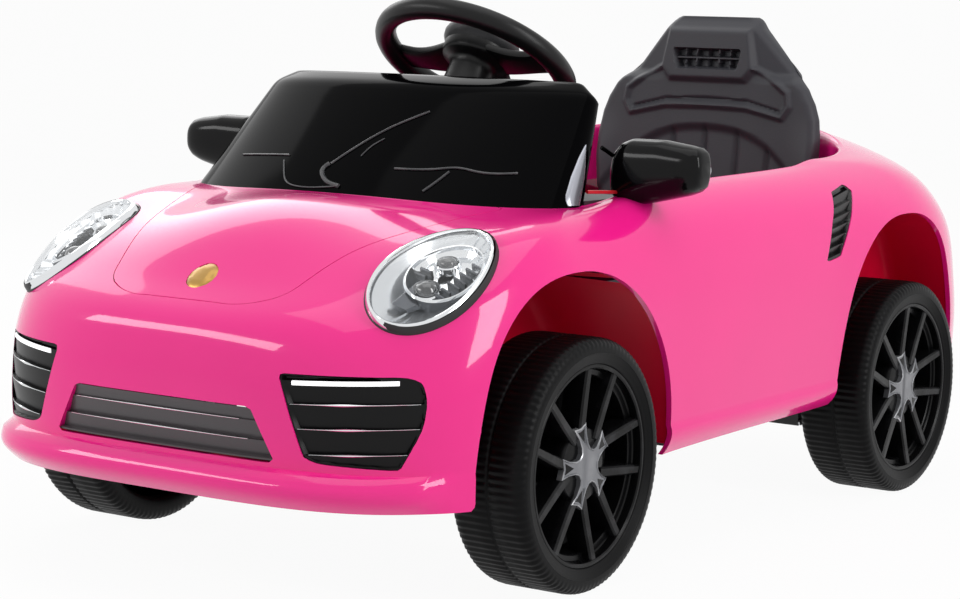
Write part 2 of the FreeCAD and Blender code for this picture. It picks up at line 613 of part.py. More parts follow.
BEARING_FRONT = "wheelbase/2 - bearing_half_length"
bearing_block = box("bearing_block", ("case_inner_x - bearing_width", BEARING_FRONT, FLOOR_Z),
                    ("bearing_width", "2*bearing_half_length", "floor_drop + bearing_rise"))
tray_left = fuse("tray_left", riser, shelf, neck_lip, bearing_block)
axle_hole = rod("axle_hole", "axle_radius", "track_outer", ("-track_outer/2", REAR_AXLE_Y, AXLE_Z), "X")
BEAM_SCREWS = ("-92", "-52", "52", "92")
screw_holes = [rod(f"beam_screw_hole_{i}", "beam_screw_radius", "floor_drop*3",
                   (x, FRONT_AXLE_Y, f"{FLOOR_Z} - 10"))
               for i, x in enumerate(BEAM_SCREWS)]
tray_whole = fuse("tray_whole", footwell, neck, tray_left, mirrored("tray_right", tray_left))
beam_slot = box("beam_slot", ("-neck_half_width - 5", "-wheelbase/2 - beam_depth/2 - face_gap", FLOOR_TOP),
                ("2*neck_half_width + 10", "beam_depth + 2*face_gap", "floor_drop*2"))
piece("chassis_tray", cut("tray", tray_whole, axle_hole, beam_slot, *screw_holes))

# Front axle beam: a bar on the tray with a fork at each end for a kingpin
EAR_TOP = f"({FLOOR_TOP} + ear_thickness + knuckle_height + 2*face_gap)"
BEAM_FRONT = "-wheelbase/2 - beam_depth/2"
FORK_HEIGHT = "(2*ear_thickness + knuckle_height + 2*face_gap)"
beam_bar = box("beam_bar", ("-kingpin_x - ear_reach", BEAM_FRONT, FLOOR_TOP),
               ("2*kingpin_x + 2*ear_reach", "beam_depth", "ear_thickness"))
beam_web = box("beam_web", ("kingpin_x - beam_web_set", BEAM_FRONT, FLOOR_TOP),
               ("beam_web", "beam_depth", FORK_HEIGHT))
beam_ear = box("beam_ear", ("kingpin_x - beam_web_set", BEAM_FRONT, EAR_TOP),
               ("beam_web_set + ear_reach", "beam_depth", "ear_thickness"))
fork = fuse("fork", beam_web, beam_ear)
kingpin = rod("kingpin", "kingpin_radius", f"{FORK_HEIGHT} + 2*kingpin_end",
              ("kingpin_x", FRONT_AXLE_Y, f"{FLOOR_TOP} - kingpin_end"))
piece("front_axle_beam", cut("beam", fuse("beam_whole", beam_bar, fork, mirrored("fork_right", fork)),
                             pair("kingpin_holes", kingpin), *screw_holes))
piece("kingpins", pair("kingpin_pair", kingpin))
beam_screws = []
for i, x in enumerate(BEAM_SCREWS):
    shank = rod(f"beam_shank_{i}", "beam_screw_radius", "ear_thickness + floor_wall",
                (x, FRONT_AXLE_Y, FLOOR_Z))
    head = rod(f"beam_head_{i}", "beam_screw_radius*2", 3,
               (x, FRONT_AXLE_Y, f"{FLOOR_TOP} + ear_thickness"))
    beam_screws.append(fuse(f"beam_screw_{i}", shank, head))
piece("beam_screws", group("beam_screw_set", *beam_screws))

# Steering knuckles: a block on the kingpin, a stub axle outward and an arm to the rear
KNUCKLE_FOOT = f"({FLOOR_TOP} + ear_thickness + face_gap)"
HUB_INNER = f"({WHEEL_IN} - 8)"
HUB_OUTER = f"({WHEEL_OUT} - hub_recess)"
TIE_Y = "(-wheelbase/2 + arm_length)"
block = box("knuckle_block", ("kingpin_x - knuckle_side/2", "-wheelbase/2 - knuckle_side/2", KNUCKLE_FOOT),
            ("knuckle_side", "knuckle_side", "knuckle_height"))
stub = rod("stub", "axle_radius", f"{HUB_OUTER} + face_gap + nut_height + 1 - kingpin_x",
           ("kingpin_x", FRONT_AXLE_Y, AXLE_Z), "X")
collar = rod("collar", "axle_radius + 4", f"{HUB_INNER} - face_gap - kingpin_x",
             ("kingpin_x", FRONT_AXLE_Y, AXLE_Z), "X")
ARM_Z = f"({KNUCKLE_FOOT} + 0.7)"
arm = box("knuckle_arm", ("kingpin_x - arm_width/2", "-wheelbase/2", ARM_Z),
          ("arm_width", "arm_length + arm_width/2", "arm_thickness"))
arm_shoulder = rod("arm_shoulder", "kingpin_radius + 2.5", f"{TIE_Z} - face_gap - {ARM_Z}",
                   ("kingpin_x", TIE_Y, ARM_Z))
arm_pin = rod("arm_pin", "kingpin_radius", f"{TIE_Z} + tie_rod_thickness + 4 - {ARM_Z}",
              ("kingpin_x", TIE_Y, ARM_Z))
pin_bore = rod("pin_bore", "kingpin_radius + running_gap", 60, ("kingpin_x", FRONT_AXLE_Y, FLOOR_TOP))
knuckle = cut("knuckle", fuse("knuckle_whole", block, stub, collar, arm, arm_shoulder, arm_pin), pin_bore)


def axle_nut(name, y):
    ring = rod(name + "_ring", "nut_radius", "nut_height", (f"{HUB_OUTER} + face_gap", y, AXLE_Z), "X")
    hole = rod(name + "_hole", "axle_radius", 40, (f"{HUB_OUTER} - 10", y, AXLE_Z), "X")
    return cut(name, ring, hole)


knuckle_and_nut = group("knuckle_and_nut", knuckle, axle_nut("front_nut", FRONT_AXLE_Y))
piece("knuckle_left", knuckle_and_nut)
piece("knuckle_right", mirrored("knuckle_mirror", knuckle_and_nut))

# Tie rod: a flat bar between the arms, slotted in the middle for the column's crank pin
tie_bar = box("tie_bar", ("-kingpin_x", f"{TIE_Y} - tie_rod_width/2", TIE_Z),
              ("2*kingpin_x", "tie_rod_width", "tie_rod_thickness"))
tie_plate = box("tie_plate", ("-tie_plate_side/2", f"{TIE_Y} - tie_plate_side/2", TIE_Z),
                ("tie_plate_side", "tie_plate_side", "tie_rod_thickness"))
tie_eyes = [rod(f"tie_eye_{side}", "tie_rod_width/2 + 3", "tie_rod_thickness",
                (f"{side}*kingpin_x", TIE_Y, TIE_Z)) for side in (1, -1)]
left_eye = rod("tie_hole_left", "kingpin_radius + running_gap", 20, ("kingpin_x", TIE_Y, f"{TIE_Z} - 8"))
right_eye = rod("tie_hole_right", "kingpin_radius + linkage_gap", 20, ("-kingpin_x", TIE_Y, f"{TIE_Z} - 8"))
SLOT_HALF_WIDTH = "(crank_pin_radius + crank_slot_side)"
SLOT_HALF_LENGTH = "(crank_pin_radius + crank_slot_end)"
crank_slot = box("crank_slot", (f"-{SLOT_HALF_WIDTH}", f"{TIE_Y} - {SLOT_HALF_LENGTH}", f"{TIE_Z} - 8"),
                 (f"2*{SLOT_HALF_WIDTH}", f"2*{SLOT_HALF_LENGTH}", 20))
tie_whole = fuse("tie_whole", tie_bar, tie_plate, *tie_eyes)
piece("tie_rod", cut("tie", tie_whole, left_eye, right_eye, crank_slot))

# Steering column: a rod from the crank over the front axle up to the steering wheel
COLUMN_RUN = "(steer_y + wheelbase/2)"
COLUMN_RISE = f"(steer_z - {COLUMN_FOOT_Z})"
COLUMN_TILT = f"atan({COLUMN_RUN}/{COLUMN_RISE})"
COLUMN_LENGTH = f"sqrt({COLUMN_RUN}*{COLUMN_RUN} + {COLUMN_RISE}*{COLUMN_RISE})"
LEAN_BACK = Vector(-1, 0, 0)


def on_column(obj):
    """Set a piece built about the column's own Z axis at the steering wheel's centre."""
    return put(obj, 0, "steer_y", "steer_z", LEAN_BACK, COLUMN_TILT)


def along_column(name, radius, low, high, across=0):
    """A cylinder along the column, between two heights below or above the wheel's centre."""
    obj = doc.addObject("Part::Cylinder", name)
    obj.setExpression("Radius", bound(radius))
    obj.setExpression("Height", bound(f"({high}) - ({low})"))
    run = f"steer_y + ({low})*sin({COLUMN_TILT})"
    rise = f"steer_z + ({low})*cos({COLUMN_TILT})"
    return put(obj, across, run, rise, LEAN_BACK, COLUMN_TILT)


CRANK_START = f"(-wheelbase/2 + ({CRANK_Z} - {COLUMN_FOOT_Z})*{COLUMN_RUN}/{COLUMN_RISE})"
column_rod = along_column("column_rod", "column_radius", f"-{COLUMN_LENGTH}", "-column_end")
crank_arm = rod("crank_arm", "column_radius", f"{TIE_Y} - {CRANK_START}", (0, CRANK_START, CRANK_Z), "Y")
crank_pin = rod("crank_pin", "crank_pin_radius", f"{CRANK_Z} - {TIE_Z} + 7", (0, TIE_Y, f"{TIE_Z} - 7"))
KNEE = "(column_radius + 1)"
crank_knee = box("crank_knee", (f"-{KNEE}", f"{TIE_Y} - {KNEE}", f"{CRANK_Z} - {KNEE}"),
                 (f"2*{KNEE}", f"2*{KNEE}", f"2*{KNEE}"))
piece("steering_column", fuse("column", column_rod, crank_arm, crank_knee, crank_pin))

# Column bracket: a plate on the tray, folded over the crank, that the column turns in
BRACKET_Z = f"({CRANK_Z} + bracket_rise)"
BRACKET_Y = "(-wheelbase/2 + arm_length + bracket_set)"
bracket_leg = box("bracket_leg", ("-bracket_half_width", BRACKET_Y, FLOOR_TOP),
                  ("2*bracket_half_width", "bracket_wall", f"{BRACKET_Z} - {FLOOR_TOP} + bracket_block"))
bracket_top = box("bracket_top", ("-bracket_half_width", f"{BRACKET_Y} - bracket_depth + 2", BRACKET_Z),
                  ("2*bracket_half_width", "bracket_depth", "bracket_block"))
bracket_bore = along_column("bracket_bore", "column_radius + running_gap",
                            f"-{COLUMN_LENGTH}", "-boss_depth")
piece("column_bracket", cut("bracket", fuse("bracket_whole", bracket_leg, bracket_top), bracket_bore))

# Steering wheel: grip ring, three spokes and a tapered boss; pad and two horn buttons on top
grip = doc.addObject("Part::Torus", "grip")
grip.setExpression("Radius1", bound("grip_ring_radius"))
grip.setExpression("Radius2", bound("grip_radius"))
boss = doc.addObject("Part::Cone", "boss")
boss.setExpression("Radius1", bound("boss_foot_radius"))
boss.setExpression("Radius2", bound("pad_radius - 4"))
boss.setExpression("Height", bound("boss_depth + pad_lift"))
put(boss, 0, 0, "-boss_depth")
spokes = []
for turn in (0, 90, 180):
    spoke = box(f"wheel_spoke_{turn}", (0, 0, 0), ("grip_ring_radius", "spoke_width", "spoke_thickness"))
    spokes.append(put(spoke, f"spoke_width/2*sin({turn})", f"-spoke_width/2*cos({turn})",
                      "pad_lift - spoke_thickness", Z_AXIS, turn))
column_seat = rod("column_seat", "column_radius", "boss_depth - column_end", (0, 0, "-boss_depth"))
wheel_frame = cut("wheel_frame", fuse("wheel_frame_whole", grip, boss, *spokes), column_seat)
piece("steering_wheel", on_column(wheel_frame))
PAD_TOP = "(pad_lift + pad_height)"
WELL_FLOOR = f"({PAD_TOP} - horn_height)"
pad_disc = along_column("pad_disc", "pad_radius", "pad_lift", PAD_TOP)
horn_wells = []
for side, label in ((1, "left"), (-1, "right")):
    place = f"{side}*horn_offset"
    horn_wells.append(along_column(f"horn_well_{label}", "horn_radius + face_gap",
                                   WELL_FLOOR, PAD_TOP, place))
    button = along_column(f"horn_{label}", "horn_radius", f"{WELL_FLOOR} + horn_travel + face_gap",
                          f"{PAD_TOP} + horn_proud", place)
    piece(f"horn_button_{label}", button)
piece("steering_pad", cut("pad", pad_disc, *horn_wells))

# Dashboard: a hollow moulding behind the screen, with the power button and direction switch
DASH_TOP = "(cowl_height - 1)"
DASH_FRONT = "(cockpit_front_y + face_gap)"
# its foot clears the front wheel houses
HOUSE_RADIUS = "(front_arch_radius + shell_wall)"
HOUSE_RUN = "(wheelbase/2 + cockpit_front_y)"
HOUSE_RISE = f"sqrt({HOUSE_RADIUS}*{HOUSE_RADIUS} - {HOUSE_RUN}*{HOUSE_RUN})"
DASH_FOOT = f"(wheel_radius + {HOUSE_RISE} + dash_clearance)"
CONTROL_Z = f"(({DASH_TOP} + {DASH_FOOT})/2)"
SWITCH_Y = "(dash_rear_y - switch_set)"
dash_block = box("dash_block", ("-dash_half_width", DASH_FRONT, DASH_FOOT),
                 ("2*dash_half_width", f"dash_rear_y - {DASH_FRONT}", f"{DASH_TOP} - {DASH_FOOT}"))
dash_hollow = box("dash_hollow",
                  ("-dash_half_width + dash_wall", f"{DASH_FRONT} + dash_wall", f"{DASH_FOOT} - 1"),
                  ("2*dash_half_width - 2*dash_wall", f"dash_rear_y - {DASH_FRONT} - 2*dash_wall",
                   f"{DASH_TOP} - {DASH_FOOT} - dash_wall + 1"))
power_boss = rod("power_boss", "power_radius + 4", "power_depth + 4",
                 ("power_x", "dash_rear_y - power_depth - 4", CONTROL_Z), "Y")
switch_boss = box("switch_boss", ("switch_x - switch_width/2 - 4", f"{SWITCH_Y} - switch_radius - 4",
                                  f"{CONTROL_Z} - switch_radius - 5"),
                  ("switch_width + 8", "switch_set + switch_radius + 4", "2*switch_radius + 10"))
power_well = rod("power_well", "power_radius + face_gap", "power_depth + 1",
                 ("power_x", "dash_rear_y - power_depth", CONTROL_Z), "Y")
switch_well = rod("switch_well", "switch_radius + face_gap", "switch_width + 2*face_gap",
                  ("switch_x - switch_width/2 - face_gap", SWITCH_Y, CONTROL_Z), "X")
column_way = along_column("column_way", "column_radius + 9", f"-{COLUMN_LENGTH}", "-column_end - 4")
dash_shell = cut("dash_shell", dash_block, dash_hollow)
piece("dashboard", cut("dash", fuse("dash_whole", dash_shell, power_boss, switch_boss),
                       power_well, switch_well, column_way))
POWER_START = "(dash_rear_y - power_depth + power_travel + face_gap)"
piece("power_button", rod("power_plunger", "power_radius", f"dash_rear_y + power_proud - {POWER_START}",
                          ("power_x", POWER_START, CONTROL_Z), "Y"))
switch_barrel = rod("switch_barrel", "switch_radius", "switch_width",
                    ("switch_x - switch_width/2", SWITCH_Y, CONTROL_Z), "X")
PADDLE_FOOT = f"{CONTROL_Z} - paddle_thickness/2"
switch_paddle = box("switch_paddle", ("switch_x - paddle_width/2", SWITCH_Y, PADDLE_FOOT),
                    ("paddle_width", "switch_radius + paddle_reach", "paddle_thickness"))
piece("direction_switch", fuse("switch", switch_barrel, switch_paddle))

# Seat: a box with the seat plate on the tray, and the tall shaped backrest on that plate
box_outside = box("seat_box_outside", ("-seat_half_width", "seat_front_y", FLOOR_TOP),
                  ("2*seat_half_width", "seat_box_rear_y - seat_front_y", f"{SEAT_Z} - {FLOOR_TOP}"))
box_inside = box("seat_box_inside",
                 ("-seat_half_width + seat_wall", "seat_front_y + seat_wall", f"{FLOOR_TOP} - 1"),
                 ("2*seat_half_width - 2*seat_wall", "seat_box_rear_y - seat_front_y - 2*seat_wall",
                  f"{SEAT_Z} - seat_plate - {FLOOR_TOP} + 1"))
seat_top = box("seat_top", ("-seat_half_width", "seat_front_y", f"{SEAT_Z} - seat_plate"),
               ("2*seat_half_width", "backrest_y + backrest_thickness + 4 - seat_front_y", "seat_plate"))
LEAD_Z = f"({FLOOR_TOP} + lead_rise)"
lead_way = rod("lead_way", "lead_radius + face_gap", "seat_wall + 20",
               ("lead_x", "seat_box_rear_y - seat_wall - 10", LEAD_Z), "Y")
SOCKET_Z = f"({FLOOR_TOP} + socket_rise)"
socket_hole = rod("socket_hole", "socket_radius", "seat_wall + 10",
                  ("socket_x", "seat_front_y - 5", SOCKET_Z), "Y")
piece("seat_pan", cut("pan", fuse("pan_whole", cut("pan_box", box_outside, box_inside), seat_top),
                      lead_way, socket_hole))
socket_flange = rod("socket_flange", "socket_radius + 3", "socket_flange",
                    ("socket_x", "seat_front_y - socket_flange", SOCKET_Z), "Y")
socket_barrel = rod("socket_barrel", "socket_radius", "socket_depth",
                    ("socket_x", "seat_front_y", SOCKET_Z), "Y")
socket_bore = rod("socket_bore", "socket_bore", "socket_depth - 2",
                  ("socket_x", "seat_front_y - 4", SOCKET_Z), "Y")
piece("charge_socket", cut("socket", fuse("socket_whole", socket_flange, socket_barrel), socket_bore))

BACKREST_SHOULDER = 0.52
BACKREST_TAPER = 0.71
backrest = doc.addObject("PartDesign::Body", "backrest")
backrest_sketch = body_sketch(backrest, "backrest_outline", "XZ_Plane")
polygon(backrest_sketch, [
    ("-seat_half_width", "0"), ("seat_half_width", "0"),
    ("seat_half_width + 4", f"backrest_height*{BACKREST_SHOULDER}"),
    ("seat_half_width - 6", f"backrest_height*{BACKREST_TAPER}"),
    ("seat_half_width - 72", "backrest_height"), ("-seat_half_width + 72", "backrest_height"),
    ("-seat_half_width + 6", f"backrest_height*{BACKREST_TAPER}"),
    ("-seat_half_width - 4", f"backrest_height*{BACKREST_SHOULDER}")])
backrest_pad = backrest.newObject("PartDesign::Pad", "backrest_slab")
backrest_pad.Profile = backrest_sketch
backrest_pad.setExpression("Length", bound("backrest_thickness"))
backrest_pad.Reversed = True
put(backrest, 0, "backrest_y", SEAT_Z, LEAN_BACK, "backrest_tilt")
foot_trim = box("backrest_foot_trim", ("-seat_half_width - 20", "backrest_y - 40", f"{SEAT_Z} - 40"),
                ("2*seat_half_width + 40", 120, 40))
piece("seat_back", cut("backrest_seated", backrest, foot_trim))

# Battery, control box and their leads under the seat
BATTERY_Y = "(seat_front_y + battery_set)"
battery_case = box("battery_case", ("-battery_width/2", BATTERY_Y, FLOOR_TOP),
                   ("battery_width", "battery_length", "battery_height"))
BATTERY_TOP = f"({FLOOR_TOP} + battery_height)"
terminals = [rod(f"terminal_{side}", "terminal_radius", "terminal_height",
                 (f"{side}*battery_width/4", f"{BATTERY_Y} + 3*terminal_radius", BATTERY_TOP))
             for side in (1, -1)]
piece("battery", fuse("battery_whole", battery_case, *terminals))
CONTROL_X = "(battery_width/2 + 8)"
piece("control_box", box("controller", (CONTROL_X, BATTERY_Y, FLOOR_TOP),
                         ("control_box_width", "battery_length", "control_box_height")))
GEAR_STEP = "gear_module*(drive_teeth + idler_pinion_teeth)/2"
MOTOR_STEP = "gear_module*(idler_teeth + motor_pinion_teeth)/2"
train_angle = math.radians(value("gear_train_angle"))
idler_y = value(REAR_AXLE_Y) + value(GEAR_STEP) * math.cos(train_angle)
idler_z = value(AXLE_Z) + value(GEAR_STEP) * math.sin(train_angle)
motor_y = idler_y + value(MOTOR_STEP) * math.cos(train_angle)
motor_z = idler_z + value(MOTOR_STEP) * math.sin(train_angle)
lead_x = value("lead_x")
lead_z = value(LEAD_Z)
lead_bend = value("lead_bend")
bend_rise = lead_bend * (1 - math.sqrt(0.5))
lead_start = Vector(lead_x, value(f"{BATTERY_Y} + battery_length"), lead_z)
bend_start = Vector(lead_x, motor_y - lead_bend, lead_z)
bend_middle = Vector(lead_x, motor_y - bend_rise, lead_z + bend_rise)
bend_end = Vector(lead_x, motor_y, lead_z + lead_bend)
lead_end = Vector(lead_x, motor_y, motor_z - value("motor_radius"))
lead_path = Part.Wire([Part.LineSegment(lead_start, bend_start).toShape(),
                       Part.Arc(bend_start, bend_middle, bend_end).toShape(),
                       Part.LineSegment(bend_end, lead_end).toShape()])
lead_section = Part.Wire([Part.Circle(lead_start, Y_AXIS, value("lead_radius")).toShape()])
motor_lead = solid("motor_lead", lead_path.makePipeShell([lead_section], True, False))
battery_lead = rod("battery_lead", "lead_radius", f"{CONTROL_X} - battery_width/2",
                   ("battery_width/2", f"{BATTERY_Y} + 30", LEAD_Z), "X")
piece("wiring_leads", group("wiring", motor_lead, battery_lead))


# Gears with stub teeth: straight-faced flanks along the involute, thinned for backlash
PRESSURE_ANGLE = math.radians(25)
BACKLASH = 0.22
TIP_HEIGHT = 0.8
ROOT_DEPTH = 1.1


def gear_face(teeth, phase_degrees, centre_y, centre_z):
    module = value("gear_module")
    pitch = module * teeth / 2
    base = pitch * math.cos(PRESSURE_ANGLE)
    tip = pitch + TIP_HEIGHT * module
    root = pitch - ROOT_DEPTH * module

    def involute(radius):
        if radius <= base:
            return 0.0
        angle = math.acos(base / radius)
        return math.tan(angle) - angle
    half_at_pitch = math.pi / (2 * teeth) - BACKLASH / (2 * pitch)
    radii = [root, max(root + 0.1, min(base, pitch - 0.4 * module)), pitch, pitch + 0.4 * module, tip]
    flank = [(r, half_at_pitch + involute(pitch) - involute(r)) for r in radii]
    points = []
    for tooth in range(teeth):
        middle = math.radians(phase_degrees) + 2 * math.pi * tooth / teeth
        for radius, half in flank:
            points.append((radius, middle - half))
        for radius, half in reversed(flank):
            points.append((radius, middle + half))
    corners = [Vector(0, centre_y + r * math.cos(a), centre_z + r * math.sin(a)) for r, a in points]
    return Part.Face(Part.makePolygon(corners + corners[:1]))


def gear(name, teeth, phase_degrees, centre_y, centre_z, start, thickness):
    face = gear_face(teeth, phase_degrees, centre_y, centre_z)
    face.translate(X_AXIS * start)
    return solid(name, face.extrude(X_AXIS * thickness))


TRAIN = value("gear_train_angle")
INNER = value("case_inner_x + case_wall")
OUTER = value("case_outer_x")
drive_teeth = int(value("drive_teeth"))
small_teeth = int(value("idler_pinion_teeth"))
idler_teeth = int(value("idler_teeth"))
motor_teeth = int(value("motor_pinion_teeth"))
axle_y = value(REAR_AXLE_Y)
axle_z = value(AXLE_Z)
drive_toothed = gear("drive_toothed", drive_teeth, TRAIN, axle_y, axle_z,
                     OUTER - value("drive_face") - 3, value("drive_face"))
drive_hub = rod("drive_hub", "axle_radius + 8", f"{HUB_INNER} - case_outer_x + 3",
                ("case_outer_x - 3", REAR_AXLE_Y, AXLE_Z), "X")
axle_clear = rod("axle_clear", "axle_radius + running_gap", "track_outer/2",
                 ("case_inner_x - 40", REAR_AXLE_Y, AXLE_Z), "X")
piece("drive_gear", cut("drive", fuse("drive_whole", drive_toothed, drive_hub), axle_clear))
idler_face = value("idler_face")
idler_large = gear("idler_large", idler_teeth, TRAIN, idler_y, idler_z, INNER + 1, idler_face)
idler_small = gear("idler_small", small_teeth, TRAIN + 180 + 180 / small_teeth, idler_y, idler_z,
                   INNER + 1 + idler_face, OUTER - INNER - idler_face - 2)
idler_bore = rod("idler_bore", "idler_pin_radius + running_gap", "case_outer_x - case_inner_x + 100",
                 ("case_inner_x - 50", idler_y, idler_z), "X")
piece("idler_gear", cut("idler", fuse("idler_whole", idler_large, idler_small), idler_bore))
motor_toothed = gear("motor_toothed", motor_teeth, TRAIN + 180 + 180 / motor_teeth, motor_y, motor_z,
                     INNER + 0.5, idler_face + 1)
motor_shaft = rod("motor_shaft", "motor_shaft_radius", "case_wall + 1",
                  ("case_inner_x", motor_y, motor_z), "X")
piece("motor_pinion", fuse("pinion", motor_toothed, motor_shaft))

# Gearbox: a case on the bearing block, closed by a cover, with the idler's pin moulded in
case_margin = value("case_gap + case_wall")
drive_reach = value(f"gear_module*(drive_teeth/2 + {TIP_HEIGHT})") + case_margin
idler_reach = value(f"gear_module*(idler_teeth/2 + {TIP_HEIGHT})") + case_margin
motor_reach = value("motor_radius + 4")
case_low_y = min(motor_y - motor_reach, idler_y - idler_reach)
case_high_y = axle_y + drive_reach
case_low_z = axle_z - drive_reach
case_high_z = max(motor_z + motor_reach, idler_z + idler_reach)
case_block = box("case_block", ("case_inner_x", case_low_y, case_low_z),
                 ("case_outer_x - case_inner_x", case_high_y - case_low_y, case_high_z - case_low_z))
case_space = box("case_space",
                 ("case_inner_x + case_wall", f"{case_low_y} + case_wall", f"{case_low_z} + case_wall"),
                 ("case_outer_x - case_inner_x", f"{case_high_y - case_low_y} - 2*case_wall",
                  f"{case_high_z - case_low_z} - 2*case_wall"))
CASE_PAST = "case_inner_x - 10"
case_axle_hole = rod("case_axle_hole", "axle_radius", "case_wall + 20",
                     (CASE_PAST, REAR_AXLE_Y, AXLE_Z), "X")
case_shaft_hole = rod("case_shaft_hole", "motor_shaft_radius + running_gap", "case_wall + 20",
                      (CASE_PAST, motor_y, motor_z), "X")
idler_pin = rod("idler_pin", "idler_pin_radius", "case_outer_x - case_inner_x",
                ("case_inner_x", idler_y, idler_z), "X")
screw_set = value("case_wall/2")
COVER_SCREWS = [(y, z) for y in (case_low_y + screw_set, case_high_y - screw_set)
                for z in (case_low_z + screw_set, case_high_z - screw_set)]
SCREW_START = "case_outer_x - cover_screw_depth"
cover_holes = [rod(f"cover_hole_{i}", "cover_screw_radius", "cover_screw_depth + cover_thickness + 5",
                   (SCREW_START, y, z), "X") for i, (y, z) in enumerate(COVER_SCREWS)]
case_shell = cut("case_shell", case_block, case_space)
piece("gearbox_case", cut("case", fuse("case_whole", case_shell, idler_pin),
                          case_axle_hole, case_shaft_hole, *cover_holes))
cover_plate = box("cover_plate", ("case_outer_x", case_low_y, case_low_z),
                  ("cover_thickness", case_high_y - case_low_y, case_high_z - case_low_z))
hub_way = rod("hub_way", "axle_radius + 8 + face_gap", "cover_thickness + 20",
              ("case_outer_x - 10", REAR_AXLE_Y, AXLE_Z), "X")
piece("gearbox_cover", cut("cover", cover_plate, hub_way, *cover_holes))
cover_screws = []
for i, (y, z) in enumerate(COVER_SCREWS):
    shank = rod(f"cover_shank_{i}", "cover_screw_radius", "cover_screw_depth + cover_thickness",
                (SCREW_START, y, z), "X")
    head = rod(f"cover_head_{i}", "cover_screw_radius + 1.3", 2,
               ("case_outer_x + cover_thickness", y, z), "X")
    cover_screws.append(fuse(f"cover_screw_{i}", shank, head))
piece("gearbox_screws", group("cover_screw_set", *cover_screws))
piece("drive_motor", rod("motor", "motor_radius", "motor_length",
                         ("case_inner_x - motor_length", motor_y, motor_z), "X"))

# Rear axle: one rod through both bearing blocks, with a nut at each end
AXLE_END = f"({HUB_OUTER} + face_gap + nut_height + 1)"
piece("rear_axle", rod("axle", "axle_radius", f"2*{AXLE_END}", (f"-{AXLE_END}", REAR_AXLE_Y, AXLE_Z), "X"))

piece("rear_axle_nuts", pair("rear_nut_pair", axle_nut("rear_nut", REAR_AXLE_Y)))


# Wheels: tyre, spoked rim and a star-shaped hub cap, outer face towards +X
def wheel_tyre(name):
    return revolved(name, [("0", "rim_radius"), ("0", "wheel_radius - 9"), ("4", "wheel_radius - 3"),
                           ("11", "wheel_radius"), ("wheel_width - 11", "wheel_radius"),
                           ("wheel_width - 4", "wheel_radius - 3"), ("wheel_width", "wheel_radius - 9"),
                           ("wheel_width", "rim_radius")])


def wheel_rim(name):
    hub_face = "(wheel_width - hub_recess)"
    web = f"({hub_face} - spoke_depth)"
    drum = "(rim_radius - rim_wall)"
    bore = "(axle_radius + running_gap)"
    body = revolved(name, [("-8", bore), (hub_face, bore), (hub_face, drum), ("wheel_width - 2", drum),
                           ("wheel_width - 2", "rim_radius"), ("2", "rim_radius"), ("2", drum),
                           (web, drum), (web, "hub_radius"), ("-8", "hub_radius")])
    windows = {"twin": [("-8", "hub_radius + 7"), ("8", "hub_radius + 7"),
                        ("13", f"{drum} - 4"), ("-13", f"{drum} - 4")],
               "wide": [("-3", "hub_radius + 7"), ("3", "hub_radius + 7"),
                        ("22", f"{drum} - 6"), ("-22", f"{drum} - 6")]}
    for kind, corners in windows.items():
        sketch = body_sketch(body, f"{name}_{kind}_window", "YZ_Plane")
        polygon(sketch, corners)
        if kind == "wide":
            sketch.AttachmentOffset = FreeCAD.Placement(Vector(), FreeCAD.Rotation(Z_AXIS, 36))
        pocket = body.newObject("PartDesign::Pocket", f"{name}_{kind}_pocket")
        pocket.Profile = sketch
        pocket.setExpression("Length", bound("wheel_width*2"))
        pocket.Midplane = True
        pattern = body.newObject("PartDesign::PolarPattern", f"{name}_{kind}_ring")
        pattern.Originals = [pocket]
        pattern.Axis = (next(f for f in body.Origin.OriginFeatures if f.Role == "X_Axis"), [""])
        pattern.Angle = 360
        pattern.Occurrences = 5
        body.Tip = pattern
    return body


def wheel_cap(name):
    disc = rod(name + "_disc", "hub_radius - 8", "cap_height", ("wheel_width - hub_recess", 0, 0), "X")
    arms = []
    for i in range(5):
        turn = 72 * i
        arm = box(f"{name}_arm_{i}", (0, 0, 0), ("cap_height - 5", "cap_arm_width", "hub_radius + 5"))
        arms.append(put(arm, "wheel_width - hub_recess", f"-cap_arm_width/2*cos({turn})",
                        f"-cap_arm_width/2*sin({turn})", X_AXIS, turn))
    hollow = rod(name + "_hollow", "nut_radius + 2", "cap_height - 2",
                 ("wheel_width - hub_recess", 0, 0), "X")
    return cut(name, fuse(name + "_whole", disc, *arms), hollow)


for corner, side, y in (("front_left", 1, FRONT_AXLE_Y), ("front_right", -1, FRONT_AXLE_Y),
                        ("rear_left", 1, REAR_AXLE_Y), ("rear_right", -1, REAR_AXLE_Y)):
    for kind, make in (("tyre", wheel_tyre), ("rim", wheel_rim), ("hub_cap", wheel_cap)):
        made = make(f"{kind}_of_{corner}")
        if side == 1:
            put(made, WHEEL_IN, y, AXLE_Z)
        else:
            put(made, f"-{WHEEL_IN}", y, AXLE_Z, Z_AXIS, 180)
        piece(f"{kind}_{corner}", made)

